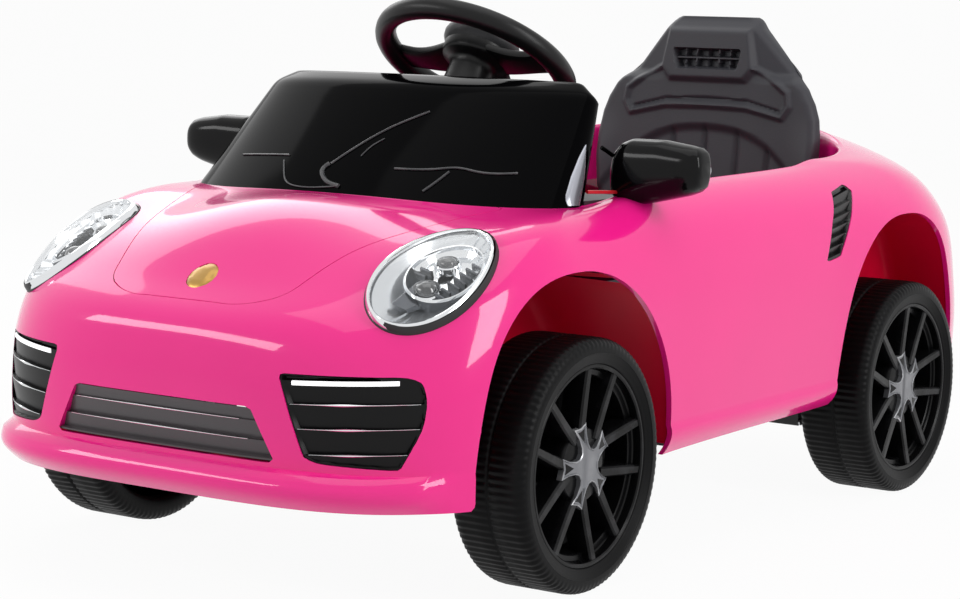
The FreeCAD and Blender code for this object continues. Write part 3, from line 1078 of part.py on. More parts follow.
# Accelerator pedal, sprung up from a bracket on the tray
PEDAL_Y = "(footwell_front_y + pedal_set)"
PEDAL_Z = f"({FLOOR_TOP} + pedal_rise)"
PEDAL_LEFT = "(pedal_x - pedal_width/2)"
EAR_GAP = "(pedal_ear + 2*face_gap)"
pedal_base = box("pedal_base", (f"{PEDAL_LEFT} - {EAR_GAP}", f"{PEDAL_Y} - pedal_length + 6", FLOOR_TOP),
                 (f"pedal_width + 2*{EAR_GAP}", "pedal_length + 4", "pedal_base"))
EARS = (f"{PEDAL_LEFT} - {EAR_GAP}", f"{PEDAL_LEFT} + pedal_width + 2*face_gap")
pedal_ears = [box(f"pedal_ear_{i}", (x, f"{PEDAL_Y} - 7", FLOOR_TOP), ("pedal_ear", 14, "pedal_rise + 8"))
              for i, x in enumerate(EARS)]
pedal_pin = rod("pedal_pin", "pedal_pin_radius", f"pedal_width + 2*{EAR_GAP}",
                (f"{PEDAL_LEFT} - {EAR_GAP}", PEDAL_Y, PEDAL_Z), "X")
pedal_switch = box("pedal_switch",
                   ("pedal_x - 12", f"{PEDAL_Y} - pedal_length + 12", f"{FLOOR_TOP} + pedal_base"),
                   (24, 16, 14))
piece("pedal_bracket", fuse("bracket_of_pedal", pedal_base, *pedal_ears, pedal_pin, pedal_switch))
pedal_plate = box("pedal_plate", ("-pedal_width/2", "-pedal_length", 0),
                  ("pedal_width", "pedal_length", "pedal_thickness"))
pedal_barrel = rod("pedal_barrel", "pedal_pin_radius + 3", "pedal_width", ("-pedal_width/2", 0, 0), "X")
pedal_bore = rod("pedal_bore", "pedal_pin_radius + running_gap", "pedal_width + 20",
                 ("-pedal_width/2 - 10", 0, 0), "X")
pedal = cut("pedal_whole", fuse("pedal_solid", pedal_plate, pedal_barrel), pedal_bore)
piece("pedal", put(pedal, "pedal_x", PEDAL_Y, PEDAL_Z, LEAN_BACK, "pedal_slope"))

doc.recompute()

faults = [obj.Name for obj in doc.Objects if {"Invalid", "Error"} & set(obj.State)]
for name, obj in pieces.items():
    if obj.Shape.isNull() or not obj.Shape.isValid() or not obj.Shape.Solids:
        faults.append(name)
if faults:
    raise RuntimeError("not built: " + ", ".join(faults))

os.makedirs("parts", exist_ok=True)
for name, obj in pieces.items():
    obj.Shape.exportStep(f"parts/{name}.step")
print(len(pieces), "nodes")
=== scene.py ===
"""A child's pink electric ride-on car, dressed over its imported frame. Meshes are drawn in millimetres."""
import math
import bmesh
import bpy
import numpy as np
from mathutils import Matrix, Vector


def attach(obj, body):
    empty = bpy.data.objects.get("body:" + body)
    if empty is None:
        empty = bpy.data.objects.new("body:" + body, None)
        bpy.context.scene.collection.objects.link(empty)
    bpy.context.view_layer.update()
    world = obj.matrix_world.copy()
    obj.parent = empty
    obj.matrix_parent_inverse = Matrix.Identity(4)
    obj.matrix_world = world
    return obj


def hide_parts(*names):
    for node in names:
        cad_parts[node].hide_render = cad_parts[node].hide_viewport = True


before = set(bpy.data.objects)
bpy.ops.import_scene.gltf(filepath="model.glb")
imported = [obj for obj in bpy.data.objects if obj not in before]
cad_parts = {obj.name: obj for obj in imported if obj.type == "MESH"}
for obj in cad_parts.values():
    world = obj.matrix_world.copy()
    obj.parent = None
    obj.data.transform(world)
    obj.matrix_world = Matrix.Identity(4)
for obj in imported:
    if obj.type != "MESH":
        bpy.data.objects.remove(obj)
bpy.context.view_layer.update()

# Camera: a long lens a little above the bonnet, in front of the car's left headlamp.
# Its place and turn come from the four wheels and from the lamps that are mirrored left to right.
yaw, pitch, roll = (math.radians(angle) for angle in (34.735, 6.6245, 1.344))
ahead = Vector((-math.sin(yaw) * math.cos(pitch), math.cos(yaw) * math.cos(pitch), -math.sin(pitch)))
level = Vector((math.cos(yaw), math.sin(yaw), 0))
upright = level.cross(ahead)
right = math.cos(roll) * level + math.sin(roll) * upright
above = -math.sin(roll) * level + math.cos(roll) * upright
camera = bpy.data.objects.new("camera", bpy.data.cameras.new("camera"))
camera.data.sensor_width = 36
picture_wide, picture_high, focal_length = 960, 599, 2596.44
camera.data.lens = 36 * focal_length / picture_wide
camera.data.shift_x = (picture_wide / 2 - 473.04) / picture_wide
camera.data.shift_y = (298.92 - picture_high / 2) / picture_wide
camera.matrix_world = Matrix((right, above, -ahead)).transposed().to_4x4()
camera.location = (1.2951, -1.9539, 0.4566)
bpy.context.scene.collection.objects.link(camera)
bpy.context.scene.camera = camera
bpy.context.scene.view_settings.view_transform = "Standard"

# Studio: a white sweep under and behind the car, wide soft lamps over it and behind it, and two strips.
# To the camera the sweep is nearly white of itself, and only the car's own shadow darkens it.


def add(tree, kind, inputs=None, **settings):
    """A shader node with its settings, each input given a value or another node's output."""
    made = tree.nodes.new("ShaderNode" + kind)
    for key, setting in settings.items():
        setattr(made, key, setting)
    for key, given in (inputs or {}).items():
        if isinstance(given, bpy.types.NodeSocket):
            tree.links.new(given, made.inputs[key])
        else:
            made.inputs[key].default_value = given
    return made


def new_material(name):
    """An empty material with its output node."""
    made = bpy.data.materials.new(name)
    made.use_nodes = True
    made.node_tree.nodes.clear()
    return made, made.node_tree, made.node_tree.nodes.new("ShaderNodeOutputMaterial")


def seen_rays(tree):
    """One where a ray comes from the camera, or from gloss or glass."""
    path = add(tree, "LightPath")
    seen = path.outputs["Is Camera Ray"]
    for other in ("Is Glossy Ray", "Is Transmission Ray"):
        seen = add(tree, "Math", {0: seen, 1: path.outputs[other]}, operation="MAXIMUM").outputs[0]
    return seen


def times(tree, one, other):
    """The product of two values."""
    return add(tree, "Math", {0: one, 1: other}, operation="MULTIPLY").outputs[0]


studio_white, tree, out = new_material("studio_white")
cove_paint = add(tree, "BsdfDiffuse", {"Color": (0.8, 0.8, 0.8, 1)})
cove_glow = add(tree, "Emission", {"Color": (1, 1, 1, 1), "Strength": 1})
glow_share = times(tree, seen_rays(tree), 0.95)
cove = add(tree, "MixShader", {0: glow_share, 1: cove_paint.outputs[0], 2: cove_glow.outputs[0]})
tree.links.new(cove.outputs[0], out.inputs[0])
bm = bmesh.new()
sweep_from, floor_under = 3.5, 0.0005
bmesh.ops.create_grid(bm, x_segments=24, y_segments=24, size=7)
for vert in bm.verts:
    vert.co.z = 0.35 * max(0, vert.co.y - sweep_from) ** 2 - floor_under
floor = bpy.data.objects.new("floor", bpy.data.meshes.new("floor"))
bm.to_mesh(floor.data)
bm.free()
floor.data.materials.append(studio_white)
bpy.context.scene.collection.objects.link(floor)

world = bpy.data.worlds.new("studio_air")
world.use_nodes = True
tree = world.node_tree
tree.nodes.clear()
air = add(tree, "Background", {"Color": (1, 1, 1, 1), "Strength": 0.5})
sky = add(tree, "Background", {"Color": (1, 1, 1, 1), "Strength": 1})
dome = add(tree, "MixShader", {1: air.outputs[0], 2: sky.outputs[0]})
tree.links.new(seen_rays(tree), dome.inputs[0])
out = tree.nodes.new("ShaderNodeOutputWorld")
tree.links.new(dome.outputs[0], out.inputs[0])
bpy.context.scene.world = world

for name, place, aim, size, power in (("overhead", (0.2, -0.2, 2.3), (0, 0, 0.2), (2.2, 1.8), 13),
                                      ("back_soft", (-2.0, 1.2, 1.75), (0, -0.2, 0.25), (2.2, 1.5), 18),
                                      ("wing_strip", (2.25, 0.0, 1.15), (0.2, -0.2, 0.25), (0.55, 1.6), 22),
                                      ("nose_strip", (-1.3, -2.0, 1.25), (0, -0.45, 0.2), (1.7, 0.4), 15)):
    lamp = bpy.data.lights.new(name, "AREA")
    lamp.shape = "RECTANGLE"
    lamp.size, lamp.size_y = size
    lamp.energy = power
    stand = bpy.data.objects.new(name, lamp)
    stand.location = place
    stand.rotation_mode = "QUATERNION"
    stand.rotation_quaternion = (Vector(aim) - Vector(place)).to_track_quat("-Z", "Y")
    bpy.context.scene.collection.objects.link(stand)

# Chassis tray with the brackets, pedal and boxes on it: black polypropylene mouldings with a matt skin.
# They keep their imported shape; the finishes here also serve the pieces that follow.


def paint(red, green, blue):
    """A colour as seen on a screen, 0 to 255, as the light values that shaders take."""
    shares = [c / 255 for c in (red, green, blue)]
    return tuple(((c + 0.055) / 1.055) ** 2.4 if c > 0.04 else c / 12.92 for c in shares) + (1,)


def effect(name, takes, gives):
    """An empty shader node group with named inputs and outputs."""
    made = bpy.data.node_groups.new(name, "ShaderNodeTree")
    for label, start in takes:
        made.interface.new_socket(label, in_out="INPUT", socket_type="NodeSocketFloat").default_value = start
    for label in gives:
        made.interface.new_socket(label, in_out="OUTPUT", socket_type="NodeSocketFloat")
    return made, made.nodes.new("NodeGroupInput").outputs, made.nodes.new("NodeGroupOutput").inputs


# grain: the slight unevenness of colour in moulded plastic, and the fine texture of its mould
grain, given, result = effect("mould_grain", (("Fineness", 900), ("Flow", 9)), ("Height", "Shade"))
spot = add(grain, "TexCoord").outputs["Object"]
fine = add(grain, "TexNoise", {"Vector": spot, "Scale": given["Fineness"], "Detail": 3, "Roughness": 0.6})
broad = add(grain, "TexNoise", {"Vector": spot, "Scale": given["Flow"], "Detail": 2, "Distortion": 0.4})
grain.links.new(fine.outputs[0], result["Height"])
grain.links.new(broad.outputs[0], result["Shade"])

# wear and glint: paler, duller lines where hands and shoes rub raised edges; the bright ones on the hub star
# are painted highlights
wear_and_glint, given, result = effect("edge_wear_and_glint", (("Amount", 0.4), ("Patch", 60)), ("Mask",))
raised = add(wear_and_glint, "MapRange", {0: add(wear_and_glint, "NewGeometry").outputs["Pointiness"], 1: 0.53, 2: 0.64})
spot = add(wear_and_glint, "TexCoord").outputs["Object"]
patch = add(wear_and_glint, "TexNoise", {"Vector": spot, "Scale": given["Patch"], "Detail": 4})
patch = add(wear_and_glint, "MapRange", {0: patch.outputs[0], 1: 0.42, 2: 0.66})
worn_and_glinting = times(wear_and_glint, times(wear_and_glint, raised.outputs[0], patch.outputs[0]), given["Amount"])
wear_and_glint.links.new(worn_and_glinting, result["Mask"])

# dust: a thin dry film that settles on what faces upward
dust_grey = (0.5, 0.47, 0.45, 1)
dust, given, result = effect("settled_dust", (("Amount", 0.1), ("Patch", 40)), ("Mask",))
facing = add(dust, "SeparateXYZ", {0: add(dust, "NewGeometry").outputs["Normal"]})
lying = add(dust, "MapRange", {0: facing.outputs[2], 1: 0.2, 2: 1.0})
spot = add(dust, "TexCoord").outputs["Object"]
cloud = add(dust, "TexNoise", {"Vector": spot, "Scale": given["Patch"], "Detail": 5})
film = times(dust, times(dust, lying.outputs[0], cloud.outputs[0]), given["Amount"])
dust.links.new(film, result["Mask"])


def moulded(name, colour, gloss, grained=(900, 0.06), spread=0.08, wear_and_glint_amount=0.3, dusty=0.004, rub_and_glint=None,
            specular=0.5, **sockets):
    """A finish whose colour drifts and whose raised edges turn paler, from wear and, with a bright edge
    colour, as painted highlights; with settled dust and the mould's grain.
    """
    made, tree, out = new_material(name)

    def blend(share, first, second):
        return add(tree, "Mix", {0: share, 6: first, 7: second}, data_type="RGBA").outputs[2]

    skin = add(tree, "Group", {"Fineness": grained[0]}, node_tree=grain).outputs
    edge = add(tree, "Group", {"Amount": wear_and_glint_amount}, node_tree=wear_and_glint).outputs
    film = add(tree, "Group", {"Amount": dusty}, node_tree=dust).outputs
    dark = tuple(c * (1 - spread) for c in colour[:3]) + (1,)
    pale = tuple(min(1, c * (1 + spread)) for c in colour[:3]) + (1,)
    rub_and_glint = rub_and_glint or tuple(c + (1 - c) * 0.2 for c in colour[:3]) + (1,)
    drifted = blend(skin["Shade"], dark, pale)
    dusted = blend(film[0], blend(edge[0], drifted, rub_and_glint), dust_grey)
    dull = add(tree, "MapRange", {0: skin["Shade"], 3: gloss * 0.85, 4: gloss * 1.15})
    dull = add(tree, "Math", {0: film[0], 1: 0.5, 2: dull.outputs[0]}, operation="MULTIPLY_ADD")
    bump = add(tree, "Bump", {"Height": skin["Height"], "Strength": grained[1], "Distance": 0.0006})
    shader = add(tree, "BsdfPrincipled", {"Base Color": dusted, "Roughness": dull.outputs[0],
                                          "Normal": bump.outputs[0],
                                          "Specular IOR Level": specular, **sockets})
    tree.links.new(shader.outputs[0], out.inputs[0])
    return made


def dress(material, *nodes):
    """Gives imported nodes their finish."""
    for node in nodes:
        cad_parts[node].data.materials.clear()
        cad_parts[node].data.materials.append(material)


chassis_black = moulded("chassis_black", paint(36, 36, 38), 0.55, (420, 0.25), spread=0.16, wear_and_glint_amount=0)
dress(chassis_black, "chassis_tray", "column_bracket", "pedal_bracket")
dress(moulded("pedal_grey", paint(70, 71, 74), 0.5, (700, 0.2), wear_and_glint_amount=0), "pedal")
dress(moulded("battery_case", paint(58, 60, 64), 0.4, (600, 0.12), wear_and_glint_amount=0), "battery")
dress(moulded("control_case", paint(24, 26, 28), 0.45, (800, 0.2), wear_and_glint_amount=0), "control_box", "charge_socket")
dress(moulded("lead_sheath", paint(120, 24, 22), 0.38, (1500, 0.08), wear_and_glint_amount=0), "wiring_leads")

# Axle beam, kingpins, knuckles, tie rod and column: bright zinc-plated steel, bent, drilled and screwed up.
# The plating is a little cloudy, and brighter where parts rub.
plated_steel = moulded("plated_steel", paint(176, 178, 180), 0.32, (260, 0.1), spread=0.14, wear_and_glint_amount=0,
                       dusty=0.02, Metallic=1.0)
dress(plated_steel, "front_axle_beam", "kingpins", "beam_screws", "knuckle_left", "knuckle_right", "tie_rod",
      "steering_column", "rear_axle", "rear_axle_nuts", "gearbox_screws")

# Drive: a can motor on a black gearbox with white nylon gears, on the inner side of the left rear wheel.
# Gears are moulded, with the slight sheen of oiled nylon.
dress(moulded("gear_nylon", paint(228, 224, 210), 0.35, (500, 0.05), wear_and_glint_amount=0),
      "motor_pinion", "idler_gear", "drive_gear")
dress(moulded("gearbox_black", paint(30, 30, 32), 0.5, (500, 0.22), wear_and_glint_amount=0), "gearbox_case", "gearbox_cover")
dress(moulded("motor_can", paint(150, 152, 156), 0.3, (340, 0.06), spread=0.12, wear_and_glint_amount=0, Metallic=1.0),
      "drive_motor")

# Wheels: hard black plastic. The tyre is blow-moulded with fine ribs across its tread and a step on its wall;
# the rim is pressed in, with five pairs of spokes over a deep dish, and a silvered star clips on the hub.


def skin_mesh(grid, ring=False, ends=()):
    """Faces over a grid of points, as bmesh. ring closes each row, and ends names rows to fill in."""
    made = bmesh.new()
    rows = [[made.verts.new(point) for point in row] for row in grid]
    for low, high in zip(rows, rows[1:]):
        for i in range(len(low) - (not ring)):
            j = (i + 1) % len(low)
            made.faces.new((low[i], low[j], high[j], high[i]))
    for end in ends:
        made.faces.new(rows[end])
    return made


def gather(*meshes):
    """One mesh of several. Each takes the finish of its place in the row."""
    whole = bmesh.new()
    for index, mesh in enumerate(meshes):
        for face in mesh.faces:
            face.material_index = index
        held = bpy.data.meshes.new("held")
        mesh.to_mesh(held)
        mesh.free()
        whole.from_mesh(held)
        bpy.data.meshes.remove(held)
    return whole


def piece(name, mesh, finish, body="root", nodes=(), sharp=38):
    """Makes an object of a mesh drawn in millimetres, and hangs it on the frame."""
    finishes = finish if isinstance(finish, list) else [finish]
    bmesh.ops.recalc_face_normals(mesh, faces=mesh.faces[:])
    bmesh.ops.scale(mesh, vec=(0.001, 0.001, 0.001), verts=mesh.verts[:])
    for face in mesh.faces:
        face.smooth = True
        face.material_index = min(face.material_index, len(finishes) - 1)
    for edge in mesh.edges:
        edge.smooth = len(edge.link_faces) == 2 and edge.calc_face_angle(0) < math.radians(sharp)
    made = bpy.data.objects.new(name, bpy.data.meshes.new(name))
    mesh.to_mesh(made.data)
    mesh.free()
    for each in finishes:
        made.data.materials.append(each)
    bpy.context.scene.collection.objects.link(made)
    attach(made, body)
    if nodes:
        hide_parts(*nodes)


def verts_in(geometry):
    """The vertices among what a mesh operation gives back."""
    return [g for g in geometry if isinstance(g, bmesh.types.BMVert)]


tyre_black = moulded("tyre_black", paint(7, 7, 8), 0.4, (1100, 0.12), dusty=0.002, rub_and_glint=paint(40, 40, 42),
                     specular=0.1)
rim_black = moulded("rim_black", paint(8, 8, 9), 0.26, (800, 0.05), wear_and_glint_amount=0.6, dusty=0.002,
                    rub_and_glint=paint(90, 90, 94), specular=0.15)
# The star's raised edges take a near-white colour at a high share: painted highlights along its edges, not
# wear.
star_silver = moulded("star_silver", paint(122, 123, 127), 0.25, (900, 0.03), spread=0.1, wear_and_glint_amount=0.9,
                      dusty=0.01, rub_and_glint=paint(240, 240, 242), Metallic=0.6)
AXLE_Y, AXLE_HIGH, TRACK_HALF = 281, 100, 218
TREAD_STEPS, RIB_DEEP = 416, 0.8
SPOKE_TURN, STAR_TURN, FIFTH = 77, 34, 72
STAR_REACH, STAR_HIGH, STAR_DEEP = 33, 29.6, 5
# rings of the tyre: radius, distance out of the mid-plane, share of the ribs' depth
inner_wall = [(79, -26, 0), (80, -31, 0), (84, -33.3, 0), (91, -34, 0), (95.4, -33.2, 0.35), (98.2, -31, 1),
              (99.6, -28, 1), (100, -24.5, 1)]
tread = [(100, -12, 1), (100, 0.5, 1), (99.2, 1, 0.4), (98.4, 1.6, 0), (98.4, 3.4, 0), (99.2, 4, 0.4),
         (100, 4.5, 1), (100, 15, 1)]
outer_wall = [(100, 24.5, 1), (99.6, 28, 1), (98.2, 31, 1), (95.4, 33.2, 0.35), (91.6, 34, 0), (88.4, 34, 0),
              (87.6, 33, 0), (84.2, 32.9, 0), (83.4, 32, 0), (80.6, 31.8, 0), (79.6, 31, 0), (79, 27, 0)]
dish_rings = [(79.6, 30.4), (78.6, 31), (76.8, 31), (75.8, 30), (75.4, 27.5), (75.2, 23.4), (74.4, 22.4),
              (70.6, 22), (69.8, 21.2), (69.2, 12), (67, 2), (63, 0), (36, 0), (32, 2), (30.6, 14),
              (30, 21.6), (28.6, 23.8), (24, 24.8), (10, 25.2), (0.5, 25.2)]
star_arm = [(12.6, -6.4), (17, -5), (25, -5.6), (33, -8.4), (31.4, 0), (33, 8.4), (25, 5.6), (17, 5),
            (12.6, 6.4)]
star_hollow = [(19.5, 0), (29.4, -4.4), (28.6, 0), (29.4, 4.4)]


def corner_wheel(side, y):
    """Tyre, rim and star for one corner, drawn by radius, turn and distance out of the mid-plane."""
    def place(radius, turn, out_by):
        return side * (TRACK_HALF + out_by), y + radius * math.cos(turn), AXLE_HIGH + radius * math.sin(turn)

    def arm_place(along, off, lean, out_by):
        return place(math.hypot(along, off), lean + math.atan2(off, along), out_by)

    rows = []
    for step in range(TREAD_STEPS):
        turn = step * math.tau / TREAD_STEPS
        cut = (0, RIB_DEEP, RIB_DEEP, 0)[step % 4]
        rows.append([place(r - cut * c, turn, o - 0.4 * cut * c * np.sign(o))
                     for r, o, c in inner_wall + tread + outer_wall])
    tyre = skin_mesh(rows + rows[:1])
    turns = np.arange(121) * math.tau / 120
    rim = skin_mesh([[place(r, turn, o) for r, o in dish_rings] for turn in turns])
    for pair in range(5):
        lean = math.radians(SPOKE_TURN + FIFTH * pair)
        for hand in (-1, 1):
            rows = []
            for share in np.linspace(0, 1, 9):
                along, off = 22 + 54.5 * share, hand * (10.6 + 9 * share)
                half, high = 3.9 - 0.6 * share, 26.4 + 3.4 * share ** 1.5
                section = [(-half - 1.8, -18), (-half - 0.4, -1.5), (-half + 0.9, 0), (half - 0.9, 0),
                           (half + 0.4, -1.5), (half + 1.8, -18)]
                rows.append([arm_place(along, off + b, lean, high + h) for b, h in section])
            rim = gather(rim, skin_mesh(rows))
    leans = [math.radians(STAR_TURN + FIFTH * arm) for arm in range(5)]
    star = bmesh.new()
    top = star.faces.new([star.verts.new(arm_place(a, b, lean, STAR_HIGH))
                          for lean in leans for a, b in star_arm])
    shade_crescent = bmesh.ops.extrude_edge_only(star, edges=star.edges[:])["geom"]
    for vert in verts_in(shade_crescent):
        vert.co.x -= side * STAR_DEEP
    for thick, deep in ((0.9, 0.5), (0.5, -0.9)):
        bmesh.ops.inset_region(star, faces=[top], thickness=thick, depth=deep * side, use_even_offset=True)
    hollows = bmesh.new()
    for lean in leans:
        hollows.faces.new([hollows.verts.new(arm_place(a, b, lean, STAR_HIGH - 0.2)) for a, b in star_hollow])
    star = gather(star, hollows)
    for vert in star.verts:
        vert.co.x -= side * 3 * ((vert.co.y - y) ** 2 + (vert.co.z - AXLE_HIGH) ** 2) / STAR_REACH ** 2
    return tyre, rim, star


for corner_name, side, y in (("front_left", 1, -AXLE_Y), ("front_right", -1, -AXLE_Y),
                             ("rear_left", 1, AXLE_Y), ("rear_right", -1, AXLE_Y)):
    tyre, rim, star = corner_wheel(side, y)
    body = "wheel_" + corner_name
    piece("tyre_wall_" + corner_name, tyre, tyre_black, body, ["tyre_" + corner_name], 50)
    piece("rim_dish_" + corner_name, rim, rim_black, body, ["rim_" + corner_name], 30)
    piece("hub_star_" + corner_name, star, [star_silver, rim_black], body, ["hub_cap_" + corner_name],
          20)

# Body shell: one blow-moulded skin of gloss pink plastic, screwed down over the chassis tray all round.
# It is drawn as level lines round the car from the lip to the cockpit rim, with a smooth skin through them.


def spline(rows, steps):
    """A smooth skin or line through rows of points, with so many steps between one row and the next."""
    rows = np.asarray(rows, float)
    flat = rows.reshape(len(rows), -1)
    spans = np.linalg.norm(np.diff(rows, axis=0), axis=-1).reshape(len(rows) - 1, -1).mean(axis=1) + 1e-9
    count = len(rows)
    system = np.zeros((count, count))
    pull = np.zeros_like(flat)
    system[0, 0] = system[-1, -1] = 1
    for i in range(1, count - 1):
        system[i, i - 1:i + 2] = spans[i - 1], 2 * (spans[i - 1] + spans[i]), spans[i]
        pull[i] = 6 * ((flat[i + 1] - flat[i]) / spans[i] - (flat[i] - flat[i - 1]) / spans[i - 1])
    bend = np.linalg.solve(system, pull)
    steps = [steps] * (count - 1) if isinstance(steps, int) else steps
    made = []
    for i in range(count - 1):
        for t in np.arange(steps[i]) / steps[i]:
            s = 1 - t
            made.append(s * flat[i] + t * flat[i + 1]
                        + ((s ** 3 - s) * bend[i] + (t ** 3 - t) * bend[i + 1]) * spans[i] ** 2 / 6)
    made.append(flat[-1])
    return np.array(made).reshape((-1,) + rows.shape[1:])


def ease(share):
    """A smooth step from nought to one."""
    share = np.clip(share, 0, 1)
    return share * share * (3 - 2 * share)


def side_run(knots, values, at):
    """Values along the car's side through its knots, level at both ends."""
    knots, values = np.asarray(knots, float), np.asarray(values, float)
    slopes = np.zeros(len(knots))
    slopes[1:-1] = (values[2:] - values[:-2]) / (knots[2:] - knots[:-2])
    i = np.clip(np.searchsorted(knots, at) - 1, 0, len(knots) - 2)
    width = knots[i + 1] - knots[i]
    t = (at - knots[i]) / width
    return ((2 * t ** 3 - 3 * t ** 2 + 1) * values[i] + (t ** 3 - 2 * t ** 2 + t) * width * slopes[i]
            + (3 * t ** 2 - 2 * t ** 3) * values[i + 1] + (t ** 3 - t ** 2) * width * slopes[i + 1])


def corner(wide, deep, square, count):
    """A rounded quarter from the car's middle line to its side: across, along and share of the way."""
    turn = np.linspace(0, math.pi / 2, 900)
    across = wide * np.sin(turn) ** (2 / square)
    along = deep * np.cos(turn) ** (2 / square)
    run = np.concatenate(([0], np.cumsum(np.hypot(np.diff(across), np.diff(along)))))
    share = np.linspace(0, 1, count)
    return np.interp(share * run[-1], run, across), np.interp(share * run[-1], run, along), share


def stacked(x, y, z):
    """Points from their coordinates, each an array or one value for all."""
    return np.stack(np.broadcast_arrays(x, y, z), axis=-1)


NOSE_POINTS = 72


def level_line(nose, tail, square, wide, high, dip=0, ends=(-AXLE_Y, AXLE_Y)):
    """One line of the skin, from the middle of the nose round the left side to the middle of the tail."""
    across, along, share = corner(wide[0], ends[0] - nose, square[0], NOSE_POINTS)
    rise = (1 - np.cos(math.pi * share)) / 2
    height = high[0] + (high[1] - high[0]) * rise - dip * np.sin(math.pi * share) ** 2
    front = stacked(across, ends[0] - along, height)
    y = np.linspace(*ends, 130)[1:-1]
    knots = (ends[0], -120, 130, ends[1])
    side = stacked(side_run(knots, wide, y), y, side_run(knots, high[1:5], y))
    across, along, share = corner(wide[3], tail - ends[1], square[1], 64)
    rise = (1 - np.cos(math.pi * share)) / 2
    rear = stacked(across, ends[1] + along, high[5] + (high[4] - high[5]) * rise)
    return np.concatenate((front, side, rear[::-1]))


lip_lines = [level_line(nose, tail, (3.42, 3.4), wide, high) for nose, tail, wide, high in (
    (-500, 490, (231, 229, 229, 231), (82, 80, 89, 95, 100, 104)),
    (-509, 498, (237, 234, 235, 238), (91, 88, 97, 102, 109, 113)),
    (-511, 503, (239, 237, 238, 241), (100, 97, 106, 110, 118, 122)),
    (-508, 505, (239, 237, 238, 242), (105, 103, 110, 114, 121, 125)))]
skin_lines = [level_line(*line) for line in (
    (-498, 506, (3.35, 3.4), (237, 236, 237, 244), (111, 108, 114, 118, 124, 128)),
    (-499, 509, (3.3, 3.25), (240, 239, 240, 246.5), (156, 150, 156, 158, 160, 160)),
    (-496, 508, (3, 3), (241.5, 240.5, 241.5, 247), (196, 194, 199, 203, 205, 200)),
    (-482, 499, (2.75, 2.8), (241, 240, 240.5, 246), (219, 229, 237, 241, 244, 236), 2),
    (-453, 482, (2.6, 2.6), (236.5, 235, 236, 239), (238, 253, 266, 270, 271, 266), 3),
    (-410, 455, (2.4, 2.4), (225, 224, 224, 223), (271, 275, 287, 292, 294, 300), 9),
    (-355, 420, (2.3, 2.2), (207, 209, 208, 204), (293, 289, 300, 306, 310, 328), 10, (-255, 245)),
    (-300, 388, (2, 2.1), (189, 197, 197, 191), (297, 292.5, 304, 311, 315.5, 341), 0, (-217, 190)))]
foot = skin_lines[0][:NOSE_POINTS]
for line in lip_lines:
    front = line[:NOSE_POINTS]
    blend = ease((front[:, 1] + 458) / 45)
    front[:, 0] += blend * (np.interp(front[:, 1], foot[:, 1], foot[:, 0]) + 0.5 - front[:, 0])
rim = skin_lines[-1]
rim_lines = [rim]
RIM_MIDDLE = 86.5
for inset, drop in ((2, -0.8), (5, 0.6), (6.5, 5), (7, 16), (8, 55)):
    shrunk = rim * (1 - inset / 190, 1, 1) + (0, 0, -drop)
    shrunk[:, 1] = RIM_MIDDLE + (rim[:, 1] - RIM_MIDDLE) * (1 - inset / 300)
    rim_lines.append(shrunk)
levels = np.concatenate((spline(lip_lines, [3, 4, 4]), spline(skin_lines, [14, 12, 8, 9, 9, 10, 11]),
                         spline(rim_lines, [2, 2, 2, 3, 5])[1:]))


def mirror_mesh(*meshes):
    """Adds each mesh's mirror image across the car's middle, welded where the two halves meet."""
    for mesh in meshes:
        copied = bmesh.ops.duplicate(mesh, geom=mesh.verts[:] + mesh.edges[:] + mesh.faces[:])["geom"]
        for vert in verts_in(copied):
            vert.co.x = -vert.co.x
        bmesh.ops.reverse_faces(mesh, faces=[g for g in copied if isinstance(g, bmesh.types.BMFace)])
        bmesh.ops.remove_doubles(mesh, verts=[v for v in mesh.verts if abs(v.co.x) < 0.01], dist=0.02)


def mesh_points(mesh):
    """A mesh's vertices as an array."""
    return np.array([v.co for v in mesh.verts])


def carve(mesh, reach):
    """Cuts a skin along the line where reach is nought. What lies inside comes back as a skin of its own."""
    values = dict(zip(mesh.verts, reach(mesh_points(mesh))))
    crossing = [e for e in mesh.edges if values[e.verts[0]] * values[e.verts[1]] < 0]
    for edge in crossing:
        a, b = edge.verts
        if values[a] * values[b] < 0:
            share = values[a] / (values[a] - values[b])
            if share < 0.06:
                values[a] = 0.0
            elif share > 0.94:
                values[b] = 0.0
    for edge in crossing:
        a, b = edge.verts
        if values[a] * values[b] < 0:
            made = bmesh.utils.edge_split(edge, a, values[a] / (values[a] - values[b]))[1]
            values[made] = 0.0
    for face in list(mesh.faces):
        signs = [np.sign(values[v]) for v in face.verts]
        if 1 in signs and -1 in signs:
            on_line = [v for v in face.verts if values[v] == 0]
            if len(on_line) >= 2:
                bmesh.utils.face_split(face, on_line[0], on_line[1])
    mesh.faces.index_update()
    inside = set()
    for face in mesh.faces:
        at_corners = [values[v] for v in face.verts]
        if min(at_corners) < -max(at_corners):
            inside.add(face.index)
    taken = mesh.copy()
    taken.faces.ensure_lookup_table()
    bmesh.ops.delete(taken, geom=[f for f in taken.faces if f.index not in inside], context="FACES")
    bmesh.ops.delete(mesh, geom=[f for f in mesh.faces if f.index in inside], context="FACES")
    return taken


def turn_in(mesh, reach, *moves):
    """Draws the edge of a cut on by each move in turn. Moves are given for the car's left side."""
    border = [e for e in mesh.edges if e.is_boundary]
    near = reach(np.array([(e.verts[0].co + e.verts[1].co) / 2 for e in border]))
    edges = [e for e, r in zip(border, near) if abs(r) < 0.6]
    for across, along, up in moves:
        drawn = bmesh.ops.extrude_edge_only(mesh, edges=edges)["geom"]
        edges = [g for g in drawn if isinstance(g, bmesh.types.BMEdge) and g.is_boundary]
        for vert in verts_in(drawn):
            vert.co += Vector((across * np.sign(vert.co.x), along, up))


